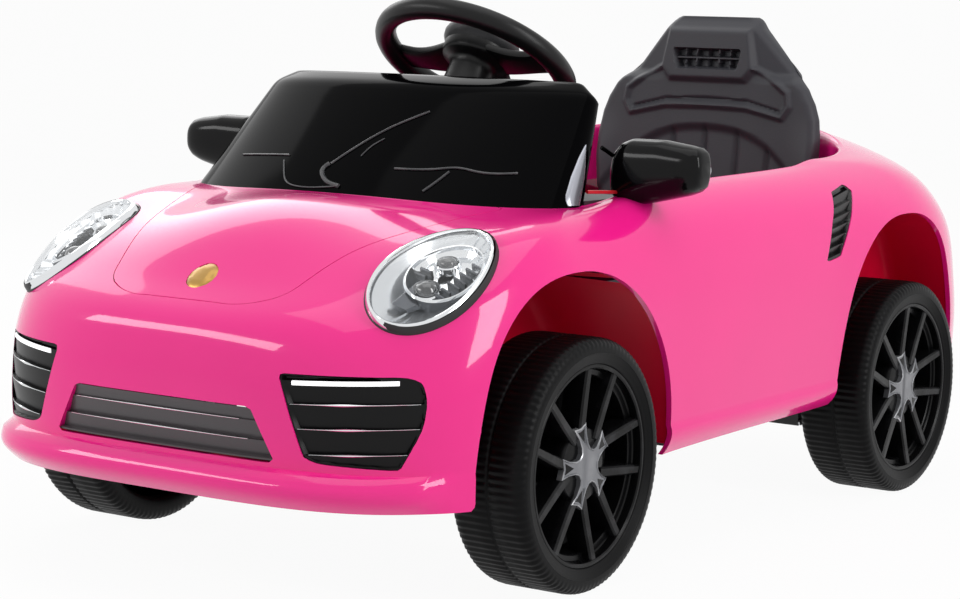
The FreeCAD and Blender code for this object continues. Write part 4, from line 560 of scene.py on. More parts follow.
def outline(points, radius):
    """Distance outside a rounded outline in a plane, for arrays of two coordinates."""
    points = np.asarray(points, float)
    middle = points.mean(axis=0)
    ahead_of = np.roll(points, -1, axis=0)
    along = ahead_of - points
    normal = np.stack((along[:, 1], -along[:, 0]), axis=1) / np.linalg.norm(along, axis=1)[:, None]
    normal *= np.sign(((points - middle) * normal).sum(axis=1))[:, None]
    offset = (points * normal).sum(axis=1) - radius

    def distance(u, v):
        past = np.stack([u * n[0] + v * n[1] - o for n, o in zip(normal, offset)])
        beyond = np.maximum(past, 0)
        return np.where(past.max(axis=0) > 0, np.sqrt((beyond ** 2).sum(axis=0)), past.max(axis=0)) - radius
    return distance


def arch_radius(turn, half_ahead, half_behind, rise):
    """How far a wheel arch's edge is from the axle, by the turn upward from straight back."""
    back, up = np.cos(turn), np.abs(np.sin(turn))
    half = np.where(back < 0, half_ahead[0], half_behind[0])
    square = np.where(back < 0, half_ahead[1], half_behind[1])
    return ((np.abs(back) / half) ** square + (up / rise) ** square) ** (-1 / square)


ARCHES = {"front": (-AXLE_Y, (122.5, 2.5), (143, 2.0), 150), "rear": (AXLE_Y, (127, 2.4), (114, 2.4), 164.5)}
LIP_HIGH, LIP_ROUND = 86, 6


def arch_reach(name):
    """Reach of one pair of wheel arches. The lip's end is rounded off at the foot of the front one."""
    y, half_ahead, half_behind, rise = ARCHES[name]

    def reach(p):
        foot = LIP_ROUND - np.sqrt(LIP_ROUND ** 2 - np.clip(LIP_HIGH - p[:, 2], 0, LIP_ROUND) ** 2)
        along, up = p[:, 1] - y, p[:, 2] - AXLE_HIGH
        along = np.where(along < 0, np.minimum(along + foot, 0), along)
        return np.hypot(along, up) - arch_radius(np.arctan2(up, along), half_ahead, half_behind, rise)
    return reach


LAMP_AT = np.array((177.9, -398.5, 246.6))
LAMP_OUT = np.array((0.2580, -0.5910, 0.7640)) / np.linalg.norm((0.2580, -0.5910, 0.7640))
LAMP_ALONG = np.array((0.191, 0.806, 0.56))
LAMP_ALONG = LAMP_ALONG - LAMP_OUT * (LAMP_ALONG @ LAMP_OUT)
LAMP_ALONG /= np.linalg.norm(LAMP_ALONG)
LAMP_ACROSS = np.cross(LAMP_OUT, LAMP_ALONG)
LAMP_MID, LAMP_COS, LAMP_SIN = (3.0, 1.0), 0.9928, 0.12
LAMP_LONG, LAMP_WIDE = 65, 39.8
FAR = 90


def lamp_place(p):
    """Where points lie on the headlamp of their side: along it, across it and out of it."""
    from_lamp = stacked(np.abs(p[:, 0]), p[:, 1], p[:, 2]) - LAMP_AT
    return from_lamp @ LAMP_ALONG, from_lamp @ LAMP_ACROSS, from_lamp @ LAMP_OUT


def lamp_reach(p):
    """Reach of the headlamps' oval openings."""
    along, across, out_of = lamp_place(p)
    along, across = along - LAMP_MID[0], across - LAMP_MID[1]
    u, v = along * LAMP_COS + across * LAMP_SIN, across * LAMP_COS - along * LAMP_SIN
    oval = (np.hypot(u / LAMP_LONG, v / LAMP_WIDE) - 1) * 45
    return np.where((np.abs(out_of) < 60) & (p[:, 1] < -250), oval, FAR)


fog_outline = outline([(109.5, 181), (198, 182), (205, 178.5), (208.5, 168), (208.5, 150), (205, 136),
                       (195, 113.5), (140, 116.5), (131.5, 120)], 2)
grille_outline = outline([(-87, 154), (87, 154), (109, 114), (-109, 114)], 2)
tail_outline = outline([(105, 214), (214, 205), (210, 246), (112, 250)], 8)
valance_outline = outline([(-140, 104), (140, 104), (122, 142), (-122, 142)], 5)
bonnet_outline = outline([(-157.5, -270), (157.5, -270), (87, -458), (58, -473.5), (-58, -473.5),
                          (-87, -458)], 7)


def vent_outline(y, z):
    """Distance outside a side vent's slanted outline."""
    front = np.interp(z, (229, 263, 290), (118.5, 132.5, 151))
    back = np.interp(z, (233, 259, 277, 289), (145, 164, 178.5, 190.5))
    above = np.maximum(z - 289.6 - 0.187 * (y - 151), (z - 289 + 0.9 * (y - 190)) * 0.74)
    return np.maximum.reduce([front - y, y - back, above, 229 + 0.15 * (y - 118.5) - z])


def opening(near, distance):
    """Reach of an opening from its place and outline, with x counted from the middle to both sides."""
    def reach(p):
        x, y, z = np.abs(p[:, 0]), p[:, 1], p[:, 2]
        return np.where(near(x, y, z), distance(x, y, z), FAR)
    return reach


fog_reach = opening(lambda x, y, z: y < -350, lambda x, y, z: fog_outline(x, z))
grille_reach = opening(lambda x, y, z: y < -350, lambda x, y, z: grille_outline(x, z))
tail_reach = opening(lambda x, y, z: y > 350, lambda x, y, z: tail_outline(x, z))
valance_reach = opening(lambda x, y, z: y > 350, lambda x, y, z: valance_outline(x, z))
vent_reach = opening(lambda x, y, z: x > 205, lambda x, y, z: vent_outline(y, z))
BADGE_Y, BADGE_WIDE = -450, 13
badge_reach = opening(lambda x, y, z: (y < -400) & (z > 200),
                      lambda x, y, z: np.hypot(x, (y - BADGE_Y) * 1.12) - BADGE_WIDE)


def bonnet_reach(grow):
    """Reach of the bonnet's outline, grown a little all round."""
    return opening(lambda x, y, z: (y < -215) & (z > 215), lambda x, y, z: bonnet_outline(x, y) - grow)


body_pink = moulded("body_pink", paint(246, 28, 140), 0.2, (500, 0.012), spread=0.03, wear_and_glint_amount=0.12, dusty=0.005,
                    specular=0.08, **{"Coat Weight": 0.8, "Coat Roughness": 0.04})
body = skin_mesh(levels)
mirror_mesh(body)
for name in ARCHES:
    carve(body, arch_reach(name))
    turn_in(body, arch_reach(name), (-0.8, 0, -0.3), (-4, 0, 0))
HALF_GAP = 0.4
bonnet = carve(body, bonnet_reach(-HALF_GAP))
carve(body, bonnet_reach(HALF_GAP))
turn_in(body, bonnet_reach(HALF_GAP), (0, 0.3, -3.5))
turn_in(bonnet, bonnet_reach(-HALF_GAP), (0, 0.3, -3.5))
body = gather(body, bonnet)
skins = {}
for name, reach, moves in (("lamp", lamp_reach, ((0, 0.6, -0.8), (0, 7, -12))),
                           ("fog", fog_reach, ((0, 0.6, 0), (0, 6, 0))),
                           ("grille", grille_reach, ((0, 0.6, 0), (0, 7, 0))),
                           ("badge", badge_reach, ((0, 0.3, -0.8), (0, 0, -2))),
                           ("tail", tail_reach, ((0, -1, 0), (0, -10, 0))),
                           ("valance", valance_reach, ((0, -1, 0), (0, -10, 0))),
                           ("vent", vent_reach, ((-0.6, 0, 0), (-5, 0, 0)))):
    skins[name] = carve(body, reach)
    turn_in(body, reach, *moves)
piece("body_skin", body, body_pink, "root", ["body_shell"])

# Wheel houses: the inside of the same pink moulding round each wheel, coloured dark red as painted shade.
# Each is a barrel over the wheel with a wall on its inner side, open round the axle.
# The dark red is painted shade: the liners are the shell's pink plastic, darkened for the dark inside of the
# houses.
house_shade_pink = moulded("house_shade_pink", paint(205, 2, 46), 0.4, (500, 0.03), spread=0.1, wear_and_glint_amount=0.05, dusty=0.01,
                     specular=0.12)


def skin_out(y, z):
    """How far out the skin is, at places along the car's side."""
    flank = levels.reshape(-1, 3)
    flank = flank[flank[:, 0] > 120]
    return np.array([flank[np.argmin((flank[:, 1] - a) ** 2 + (flank[:, 2] - b) ** 2), 0]
                     for a, b in zip(y, z)])


HOUSE_BEND, SKIN_GAP = 5, 3.5
for name, inner_x, least in (("front", 124, 145), ("rear", 172, 113)):
    y, half_ahead, half_behind, rise = ARCHES[name]
    turns = np.radians(np.linspace(-1, 181, 80))
    span = np.maximum(arch_radius(turns, half_ahead, half_behind, rise) + 0.5, least)
    along = y + span * np.cos(turns)
    above = AXLE_HIGH + span * np.sin(turns)
    reach = skin_out(along, above) - SKIN_GAP - inner_x - HOUSE_BEND
    rows = [stacked(inner_x + HOUSE_BEND + reach * share, along, above) for share in np.linspace(1, 0, 9)]
    for shrink, drop in ((0.985, 2), (0.96, 0), (0.75, 0), (0.55, 0)):
        rows.append(stacked(inner_x + drop, y + shrink * span * np.cos(turns),
                            AXLE_HIGH + np.maximum(shrink * span * np.sin(turns), -12)))
    house = skin_mesh(rows)
    mirror_mesh(house)
    piece("wheel_house_" + name, house, house_shade_pink, "root", ())

# Seat deck: the same moulding again, level on both sides of the seat between the rear wheel houses.
# Its front turns down to the tray, and a narrow sill runs on along the door to the front wheel house.
DECK_HIGH, DECK_FRONT, DECK_REAR, SEAT_SIDE = 178, 74, 352, 118.6
SILL_HIGH, SILL_SIDE, FRONT_HOUSE, FRONT_HOUSE_END, REAR_HOUSE = 105, 216, 124.5, -138.2, 171
TOE_HIGH, TOE_FOOT, TOE_Y, NECK_SIDE, TRAY_SIDE = 97.4, 79.6, -121, 106, 146
house_front = along[above > DECK_HIGH - 5].min() - 2
runs = [(y, TOE_HIGH, NECK_SIDE) for y in (-222, -180, -138.5, -138, TOE_Y)]
runs += [(TOE_Y, TOE_HIGH, TRAY_SIDE), (TOE_Y, SILL_HIGH, TRAY_SIDE), (-117.5, SILL_HIGH, TRAY_SIDE)]
runs += [(y, SILL_HIGH, SILL_SIDE) for y in (-116.9, -80, -40, 0, 40, 73.4)]
runs += [(DECK_FRONT, z, SEAT_SIDE) for z in (SILL_HIGH, 140, DECK_HIGH - 3)]
runs += [(DECK_FRONT + 0.9, DECK_HIGH - 0.9, SEAT_SIDE)]
runs += [(y, DECK_HIGH, SEAT_SIDE) for y in np.linspace(DECK_FRONT + 3, house_front, 10)]
runs += [(y, DECK_HIGH, SEAT_SIDE) for y in np.linspace(house_front + 0.5, DECK_REAR, 14)]
rows = []
for y, z, inner in runs:
    outer = skin_out([y], [z])[0] - 1.5
    outer = REAR_HOUSE if y > house_front else FRONT_HOUSE if y < FRONT_HOUSE_END else outer
    rows.append([(inner + (outer - inner) * share, y, z) for share in np.linspace(0, 1, 9)])
toe = [(NECK_SIDE, -222), (NECK_SIDE, -170), (NECK_SIDE, TOE_Y), (126, TOE_Y), (145.6, TOE_Y)]
deck = gather(skin_mesh(rows), skin_mesh([[(x, y, z) for x, y in toe] for z in (TOE_HIGH, TOE_FOOT)]))
mirror_mesh(deck)
piece("seat_deck", deck, body_pink, "root", ())

# Headlamps: a chromed bezel on a dark gasket stands up from the wing, round a silvered bowl and a pod with
# two dark bulbs under glass caps. A clear domed cover is welded over it, and the unit drops in from outside.


def fitted_sheet(first, second, third, powers, scale=100):
    """A smooth sheet fitted to points: their third coordinate from the two others."""
    def terms(u, v):
        return np.stack([(u / scale) ** i * (v / scale) ** j for i, j in powers], axis=-1)

    shares = np.linalg.lstsq(terms(first, second), third, rcond=None)[0]
    return lambda u, v: terms(u, v) @ shares


cubic = [(i, j) for i in range(4) for j in range(4 - i)]
wing = fitted_sheet(*lamp_place(mesh_points(skins["lamp"])), cubic, 50)


def lamp_points(along, across, lift):
    """Points of the left lamp, by their place on its plane and their height over the wing."""
    along, across, lift = (given[..., None] for given in np.broadcast_arrays(along, across, lift))
    height = wing(along[..., 0], across[..., 0])[..., None] + lift
    return LAMP_AT + along * LAMP_ALONG + across * LAMP_ACROSS + height * LAMP_OUT


def even_turns(count):
    """Equal turns round a circle."""
    return np.arange(count) * math.tau / count


def lamp_oval(half_long, half_wide, lift, middle=LAMP_MID, steps=96):
    """Points round an oval that is turned a little toward the car's middle."""
    a, b = half_long * np.cos(even_turns(steps)), half_wide * np.sin(even_turns(steps))
    return lamp_points(middle[0] + LAMP_COS * a - LAMP_SIN * b, middle[1] + LAMP_COS * b + LAMP_SIN * a, lift)


def lamp_rings(rings, middle=LAMP_MID, steps=96):
    """A skin through ovals round one middle: each ring has its half-length, half-width and lift."""
    return skin_mesh([lamp_oval(*ring, middle, steps) for ring in rings], ring=True)


def lamp_bowl(share, turn):
    """Depth of the silvered bowl, with fluted bands on its outer half."""
    depth = 1 - 20 * (1 - share ** 2.4)
    return depth + 0.7 * np.sin(turn * 26) * share * (np.sin(turn) < 0.1)


# Chrome: the plating of the bezels and lamp parts, and also the grille bars that are painted highlights.
chrome_and_glint = moulded("chrome_and_glint", paint(226, 228, 230), 0.07, (900, 0.01), spread=0.03, wear_and_glint_amount=0.05, dusty=0.01,
                 Metallic=1.0)
silvered = moulded("silvered", paint(214, 217, 220), 0.2, (900, 0.02), spread=0.06, wear_and_glint_amount=0.2, dusty=0.0,
                   Metallic=0.85)
# Black of the gasket, and of the crescent of painted shade under the bezel.
gasket_and_shade_black = moulded("gasket_and_shade_black", paint(20, 18, 20), 0.5, (900, 0.08))
slot_grey = moulded("slot_grey", paint(74, 77, 82), 0.22, (600, 0.03), spread=0.2, dusty=0.0, Metallic=0.5)
bulb_grey = moulded("bulb_grey", paint(40, 42, 46), 0.08, (400, 0.03), spread=0.3, dusty=0.0, specular=0.8,
                    **{"Coat Weight": 0.7})
# The cover grows more opaque and near-white where it is seen edge-on: a painted reflection for the glare of
# the glass.
clear_cover, tree, out = new_material("clear_cover")
edge_on = add(tree, "LayerWeight", {"Blend": 0.25})
painted_edge_glare = add(tree, "MapRange", {0: edge_on.outputs["Facing"], 1: 0.1, 2: 1.0, 3: 0.03, 4: 0.45})
haze = add(tree, "Group", {"Flow": 30}, node_tree=grain)
smear = add(tree, "MapRange", {0: haze.outputs["Shade"], 3: 0.015, 4: 0.05})
cover = add(tree, "BsdfPrincipled", {"Base Color": (0.93, 0.95, 0.96, 1), "Roughness": smear.outputs[0],
                                     "Alpha": painted_edge_glare.outputs[0], "Specular IOR Level": 0.8})
tree.links.new(cover.outputs[0], out.inputs[0])

SHADE_CRESCENT_MID, POD_MID = (3.5, -0.5), (14, -2)
bezel = lamp_rings([(LAMP_LONG, LAMP_WIDE, -3), (64.9, 39.7, 0.8), (64.1, 38.9, 4.2), (62.9, 37.6, 6),
                    (61.7, 36.4, 6.2), (60.7, 35.2, 5.2), (60.1, 34.6, 3), (59.7, 34.2, 1)])
gasket = lamp_rings([(65.9, 40.7, -0.6), (65.7, 40.5, 0.6), (64.9, 39.7, 0.8), (64.7, 39.5, -2)])
# A black crescent set off the bezel's middle shows under its lower side: painted shade below the bezel, not a
# part.
shade_crescent = lamp_rings([(LAMP_LONG, LAMP_WIDE, 0.4), (64.5, 39.3, 4), (63.2, 37.9, 5.9)], SHADE_CRESCENT_MID)
gasket = gather(gasket, shade_crescent)
bowl = skin_mesh([lamp_oval(59.7 * share, 34.2 * share, lamp_bowl(share, even_turns(96)))
                  for share in np.linspace(1, 0.02, 26)], ring=True)
pod_wall = lamp_rings([(38.5, 28, -16), (37.8, 27.2, -4.5), (37.6, 27, -3.5)], POD_MID)
pod = lamp_rings([(37.6, 27, -3.5), (36.6, 26, -2), (35.6, 25, -2.4), (34.8, 24.2, -6), (30, 20, -11),
                  (8, 5, -12)], POD_MID)
facet = [[lamp_points(a + (c - a) * t, b + (d - b) * t, lift) for t in np.linspace(0, 1, 7)]
         for a, b, c, d, lift in ((-37, 8, -12, 8.5, -7), (-36, 6.5, -13, 6.5, -5.5),
                                  (-34.5, -5, -25, -9, -6), (-34, -7, -25, -11, -9))]
pod_wall = gather(pod_wall, skin_mesh(facet))
collars, slots, bulbs = bmesh.new(), bmesh.new(), bmesh.new()
for along, across, size in ((27, 7, 7.4), (-7.5, -2, 8.5)):
    collar = [(size * k, size * k, lift)
              for k, lift in ((1.45, -14), (1.35, -8), (1.22, -7), (1.1, -8.5), (1.0, -10))]
    collars = gather(collars, lamp_rings(collar, (along, across), 40))
    cap = [(size * math.sin(t), size * math.sin(t), -9.5 + 0.85 * size * math.cos(t))
           for t in np.linspace(math.pi / 2, 0.04, 9)]
    bulbs = gather(bulbs, lamp_rings(cap, (along, across), 40))
slot_section = [(-1.3, -14), (-1.1, -5.6), (-0.5, -5), (0.5, -5), (1.1, -5.6), (1.3, -14)]
for across_mid, places, half in ((-16.5, (35, 28, 21, 14, 7), 5.5), (12, (9, 2), 5.5), (-16, (-1, -8), 4)):
    for along in places:
        rows = [[lamp_points(along + a, across_mid + c, lift) for a, lift in slot_section]
                for c in np.linspace(-half, half, 7)]
        slots = gather(slots, skin_mesh(rows))
dome = [(60.9 * share, 35.4 * share, 5.3 + 5 * (1 - share ** 2)) for share in np.linspace(1, 0.01, 18)]
lens = lamp_rings([(60.9, 35.4, 4.9)] + dome)
mirror_mesh(bezel, gasket, bowl, pod_wall, pod, collars, slots, bulbs, lens)
piece("headlamp_bezels", gather(bezel, gasket), [chrome_and_glint, gasket_and_shade_black], "root", ["headlamp_rims"])
piece("headlamp_bowls", gather(bowl, pod_wall, pod, collars, slots, bulbs),
      [silvered, slot_grey, chrome_and_glint, chrome_and_glint, slot_grey, bulb_grey], "root", ["headlamp_cups"],
      30)
piece("headlamp_covers", lens, clear_cover, "root", ["headlamp_lenses"])
skins["lamp"].free()

# Front grilles: black louvred plates pressed into the bumper from behind, with thin chrome bars on the
# louvres' edges, thickest in the middle, as painted highlights, and a lit bar along the top of each outer
# one. The wide middle one is dark grey.


def left_half(mesh):
    """Coordinates of the vertices on a patch's left side."""
    found = mesh_points(mesh)
    return found[found[:, 0] > -1].T


def fill_rows(distance, rows, columns, low, high, tilt=0.0, inset=0.3):
    """Places that fill an outline in rows, which may tilt: across, up, and each row's own level."""
    across = np.linspace(low, high, 1600)
    middle = (low + high) / 2
    filled = []
    for row in rows:
        inside = np.nonzero(distance(across, row + tilt * (across - middle)) < -inset)[0]
        if len(inside) > 3:
            u = np.linspace(across[inside[0]], across[inside[-1]], columns)
            filled.append(stacked(u, row + tilt * (u - middle), row))
    return np.moveaxis(np.array(filled), -1, 0)


def louvre_rows(top, bottom, ridges, fine=1.3):
    """Levels for a louvred plate, close on both sides of each ridge."""
    extra = [r + d for r in ridges for d in (0.9, 0.25, -0.05, -0.5, -1.2)]
    return np.array(sorted(list(np.arange(bottom, top, fine)) + extra, reverse=True))


def louvre_depth(levels_at, ridges, pitch, proud, deep):
    """Depth under the skin: each louvre stands out at its ridge and leans in below it."""
    depth = np.full_like(levels_at, float(deep))
    for ridge in ridges:
        below = (ridge - levels_at) / pitch
        depth = np.where((below >= 0) & (below < 1), proud + (deep - proud) * below, depth)
    return depth


def tube(path, radii, sides=10):
    """A round bar along a path, its radius given at each point. Its ends are closed."""
    path = np.asarray(path, float)
    radii = np.broadcast_to(radii, len(path))
    heading = np.gradient(path, axis=0)
    heading /= np.linalg.norm(heading, axis=1)[:, None]
    side = np.cross(heading[0], (0.3, 0.5, 0.8))
    rows = []
    for point, ahead_of, radius in zip(path, heading, radii):
        side = side - ahead_of * (side @ ahead_of)
        side /= np.linalg.norm(side)
        other = np.cross(ahead_of, side)
        rows.append([point + radius * (math.cos(t) * side + math.sin(t) * other) for t in even_turns(sides)])
    return skin_mesh(rows, ring=True, ends=(0, -1))


louvre_black = moulded("louvre_black", paint(7, 7, 8), 0.34, (700, 0.05), wear_and_glint_amount=0.2, dusty=0.002,
                       rub_and_glint=paint(40, 40, 42), specular=0.18)
grille_grey = moulded("grille_grey", paint(66, 61, 64), 0.3, (700, 0.06), wear_and_glint_amount=0.4)
led_white = moulded("led_white", paint(245, 246, 250), 0.3, (400, 0.02), spread=0.02, wear_and_glint_amount=0, dusty=0,
                    **{"Emission Color": (1, 1, 1, 1), "Emission Strength": 0.75})
FOG_TILT, FOG_MID, FOG_TOP, BAR_HIGH = 0.042, 157, 178.5, 176
fog_ridges = (160.3, 142.2, 123.4)
x, y, z = left_half(skins["fog"])
bumper = fitted_sheet(x, z, y, [(i, j) for i in range(6) for j in range(3)])
u, v, row = fill_rows(fog_outline, louvre_rows(184, 110, fog_ridges), 60, FOG_MID - 57, FOG_MID + 57,
                      FOG_TILT, 0.05)
depth = louvre_depth(row, (FOG_TOP,) + fog_ridges, 18.2, 1.6, 5)
depth = np.where(fog_outline(u, v) > -1.9, 0.9, depth)
plate = skin_mesh(stacked(u, bumper(u, v) + depth, v))
# Chrome bars along the ridges, thickest in their middles: painted highlights on the louvres' edges.
painted_glint_lines = bmesh.new()
for ridge, low, high in zip(fog_ridges, (119, 126, 135), (205, 205, 199)):
    x = np.linspace(low, high, 30)
    z = ridge + FOG_TILT * (x - FOG_MID)
    swell = 0.22 + 0.75 * np.exp(-((x - (low + high) / 2 + 3) / 12) ** 2)
    painted_glint_lines = gather(painted_glint_lines, tube(stacked(x, bumper(x, z) + 1.5, z), swell, 8))
x = np.linspace(121, 192.5, 40)
z = BAR_HIGH + FOG_TILT * (x - FOG_MID)
bar_section = ((6, -1.7), (0.9, -1.7), (0.4, -1.3), (0.4, 1.3), (0.9, 1.7), (6, 1.7))
bar = np.stack([stacked(x, bumper(x, z) + deep, z + up) for deep, up in bar_section], axis=1)
led = skin_mesh(bar, ring=True, ends=(0, -1))
mirror_mesh(plate, painted_glint_lines, led)
piece("fog_louvres", gather(plate, painted_glint_lines), [louvre_black, chrome_and_glint], "root", ["fog_grilles"], 25)
piece("day_bars", led, led_white, "root", ["day_lamps"], 30)

GRILLE_TOP, GRILLE_LIP = 149.5, 153.7
grille_ridges = (143.6, 129.4)
x, y, z = left_half(skins["grille"])
nose = fitted_sheet(x, z, y, [(i, j) for i in (0, 2, 4) for j in range(3)])
u, v, row = fill_rows(grille_outline, louvre_rows(153.6, 114.2, grille_ridges), 60, -112, 112)
depth = louvre_depth(row, (GRILLE_TOP,) + grille_ridges, 14.2, 2.5, 6)
depth = np.where(row > GRILLE_TOP, 0.8 + (GRILLE_LIP - row) * 0.45, depth)
depth = np.where(row < 117, 1.2, depth)
plate = skin_mesh(stacked(u, nose(u, v) + depth, v))
# Chrome bars along the ridges, thickest in their middles: painted highlights on the louvres' edges.
painted_glint_lines = bmesh.new()
for ridge, low, high in zip(grille_ridges + (115.6,), (-88, -94, -104), (76, 84, 104)):
    x = np.linspace(low, high, 40)
    swell = 0.25 + 0.35 * np.exp(-((x - (low + high) / 2) / 45) ** 2)
    painted_glint_lines = gather(painted_glint_lines, tube(stacked(x, nose(x, np.full(40, ridge)) + 2.2, ridge), swell, 8))
piece("lower_louvres", gather(plate, painted_glint_lines), [grille_grey, chrome_and_glint], "root", ["lower_grille"],
      25)
for name in ("fog", "grille"):
    skins[name].free()

# Badge place: a plain domed disc of satin gold colour, stuck in a shallow round seat on the bonnet.
# Its face rises from a low rim, with a fine groove inside the rim.
badge_gold = moulded("badge_gold", paint(176, 138, 74), 0.28, (700, 0.05), spread=0.1, wear_and_glint_amount=0.4, Metallic=0.8)
disc = skins["badge"]
bmesh.ops.subdivide_edges(disc, edges=disc.edges[:], cuts=1, use_grid_fill=True)
for vert, reach in zip(disc.verts, badge_reach(mesh_points(disc))):
    inward = max(0.0, -reach / BADGE_WIDE)
    groove = 0.9 * (0.16 < inward < 0.3)
    vert.co += Vector((0, -0.5, 0.86)) * (-0.8 + 2.4 * min(1, inward * 5) + 0.8 * inward - groove)
piece("badge_disc", disc, badge_gold, "root", ["nose_badge"])

# Side vents: black louvred scoops pushed into the flanks behind the cockpit, one each side.
# The louvres lean down and back.
vent_black = moulded("vent_black", paint(11, 10, 11), 0.28, (700, 0.06), wear_and_glint_amount=0.6, rub_and_glint=paint(110, 108, 110),
                     specular=0.3)
x, y, z = left_half(skins["vent"])
flank = fitted_sheet(y, z, x, [(i, j) for i in range(3) for j in range(4)])
vent_ridges = tuple(np.arange(285, 236, -8))
u, v, row = fill_rows(vent_outline, louvre_rows(302, 222, vent_ridges, 0.7), 40, 105, 200, 0.16, 0.1)
depth = np.where(vent_outline(u, v) > -2.6, 0.7, louvre_depth(row, vent_ridges, 8, 0.8, 4.2))
plate = skin_mesh(stacked(flank(u, v) - depth, u, v))
mirror_mesh(plate)
piece("vent_louvres", plate, vent_black, "root", ["side_vents"], 25)
skins["vent"].free()

# Tail: two red lamp lenses, fluted inside, and a black louvred valance low in the middle.
# All are pressed into the tail from behind.
lens_red = moulded("lens_red", paint(190, 6, 14), 0.12, (500, 0.02), spread=0.15, wear_and_glint_amount=0.05, dusty=0.0,
                   rub_and_glint=paint(214, 40, 44), specular=0.12, **{"Coat Weight": 0.3, "Coat Roughness": 0.04})
RIB_PITCH = 12
for name, reach, material, node, slot in (
        ("tail", tail_reach, lens_red, "tail_lamps", "lamp_red"),
        ("valance", valance_reach, louvre_black, "rear_valance", "black_trim")):
    patch = skins[name]
    bmesh.ops.subdivide_edges(patch, edges=patch.edges[:], cuts=1, use_grid_fill=True)
    for vert, away in zip(patch.verts, reach(mesh_points(patch))):
        inward = max(0.0, -away)
        if name == "tail":
            flute = abs((vert.co.z - 228) % RIB_PITCH - RIB_PITCH / 2) < 1.2
            vert.co.y += -1.6 + 2.0 * min(1, inward / 4) - 0.5 * flute
        else:
            louvre = abs((vert.co.z - 104) % RIB_PITCH - RIB_PITCH / 2) < 3.2
            vert.co.y -= 1.5 + 5 * min(1, inward / 4) * louvre
    piece(name + "_insert", patch, material, "root", [node], 25)

# Windscreen: one gloss black moulding, bowed round the dashboard, its top rolled back and its ends turned in.
# The wipers are moulded on its face and drawn grey, a painted highlight on the black moulding, and a silvered
# quarter light is let into each end.


def screen_at(u, v, out_by=0.0):
    """A point of the screen's face: u runs from its right end to its left, v from its foot to its top."""
    u, v, out_by = np.broadcast_arrays(u, v, out_by)
    turn = u * math.pi / 2
    foot = stacked(189 * np.sin(turn), -217 - 83 * np.cos(turn), 297 - 4.5 * (1 - np.cos(turn)))
    top = stacked(166 * np.sin(turn), -154.5 - 46.5 * np.cos(turn), 384.5 - 5.5 * (1 - np.cos(turn)))
    outward = stacked(0.93 * np.sin(turn), -0.8 * np.cos(turn), 0.37 + 0.23 * np.cos(turn))
    return foot + (top - foot) * v[..., None] + outward * out_by[..., None]


screen_black = moulded("screen_black", paint(3, 3, 4), 0.08, (500, 0.008), spread=0.1, wear_and_glint_amount=0.05,
                       dusty=0.0005, rub_and_glint=paint(26, 26, 28), specular=0.15, IOR=1.14)
# Grey of the wipers: a painted highlight along arms and blades that are black like the screen.
wiper_glint_grey = moulded("wiper_glint_grey", paint(44, 45, 48), 0.25, (900, 0.05), wear_and_glint_amount=0.6)
quarter_silver = moulded("quarter_silver", paint(158, 160, 168), 0.24, (600, 0.02), spread=0.14, Metallic=0.7)
bar_red = moulded("bar_red", paint(196, 30, 40), 0.3, (600, 0.03))
ROLL_FROM, SCREEN_WIDE, SCREEN_TALL = 0.93, 300, 100
face_up = [(v, 0) for v in np.linspace(-0.05, ROLL_FROM, 12)]
roll = [(0.965, -0.2), (0.99, -0.7), (1.015, -1.6), (1.04, -3), (1.08, -5.8), (1.12, -8.8), (1.15, -11.2),
        (1.162, -13), (1.155, -15), (1.13, -15.4), (1.06, -11), (1.0, -7.4), (0.95, -5.6)]
back_down = [(v, -5) for v in np.linspace(0.9, -0.05, 6)]
rows = []
for u in np.linspace(-1.09, 1.09, 90):
    rolled = 1 - 0.8 * max(0, (abs(u) - 0.82) / 0.27) ** 2
    rows.append([screen_at(u, min(v, ROLL_FROM) + max(0, v - ROLL_FROM) * rolled, out_by)
                 for v, out_by in face_up + roll + back_down])
screen = skin_mesh(rows, ring=True, ends=(0, -1))
# Wiper tubes, grey as painted highlights on the black moulded arms and blades.
wipers = bmesh.new()
for path, thick in (([(0.033, 0.059), (-0.013, 0.087), (-0.045, 0.14), (-0.06, 0.2), (-0.05, 0.245)], 2.0),
                    ([(-0.045, 0.245), (0.004, 0.405), (0.078, 0.588), (0.181, 0.751)], 0.9),
                    ([(0.041, 0.326), (0.051, 0.4), (0.083, 0.491)], 0.6),
                    ([(0.305, 0.063), (0.332, 0.15), (0.358, 0.243)], 1.1),
                    ([(0.176, 0.241), (0.312, 0.259), (0.38, 0.28), (0.452, 0.258), (0.606, 0.268)], 1.0),
                    ([(-0.474, 0.267), (-0.35, 0.283), (-0.229, 0.296)], 0.8),
                    ([(-0.235, 0.246), (-0.2, 0.15), (-0.165, 0.07), (-0.114, 0.032), (0.028, 0.058)], 0.7)):
    run = spline([(u * SCREEN_WIDE, v * SCREEN_TALL, 0) for u, v in path], 6)
    wipers = gather(wipers, tube(screen_at(run[:, 0] / SCREEN_WIDE, run[:, 1] / SCREEN_TALL, 0.5), thick, 8))
v = np.linspace(0.012, 0.55, 24)
left_u = np.interp(v, (0.009, 0.05, 0.098, 0.265, 0.436, 0.56), (0.917, 0.893, 0.88, 0.888, 0.917, 0.957))
right_u = np.interp(v, (0.009, 0.271, 0.42, 0.56), (1.03, 1.03, 1.0, 0.96))
light = skin_mesh([screen_at(left_u + (right_u - left_u) * s, v, 0.25 + 1.2 * math.sin(math.pi * s) ** 0.5)
                   for s in np.linspace(0, 1, 9)])
frame_bar = tube(spline([(176, -162, 338), (186, -145, 325), (194, -130, 309)], 8), 1.8)
red_bar = tube(spline([(187, -199, 304), (192, -172, 303), (195, -143, 302)], 8), 1.5)
mirror_mesh(light, frame_bar, red_bar)
DASH_Y, DASH_HIGH = -205.4, 290
foot = screen_at(np.linspace(-0.93, 0.93, 41), 0.0, -5)
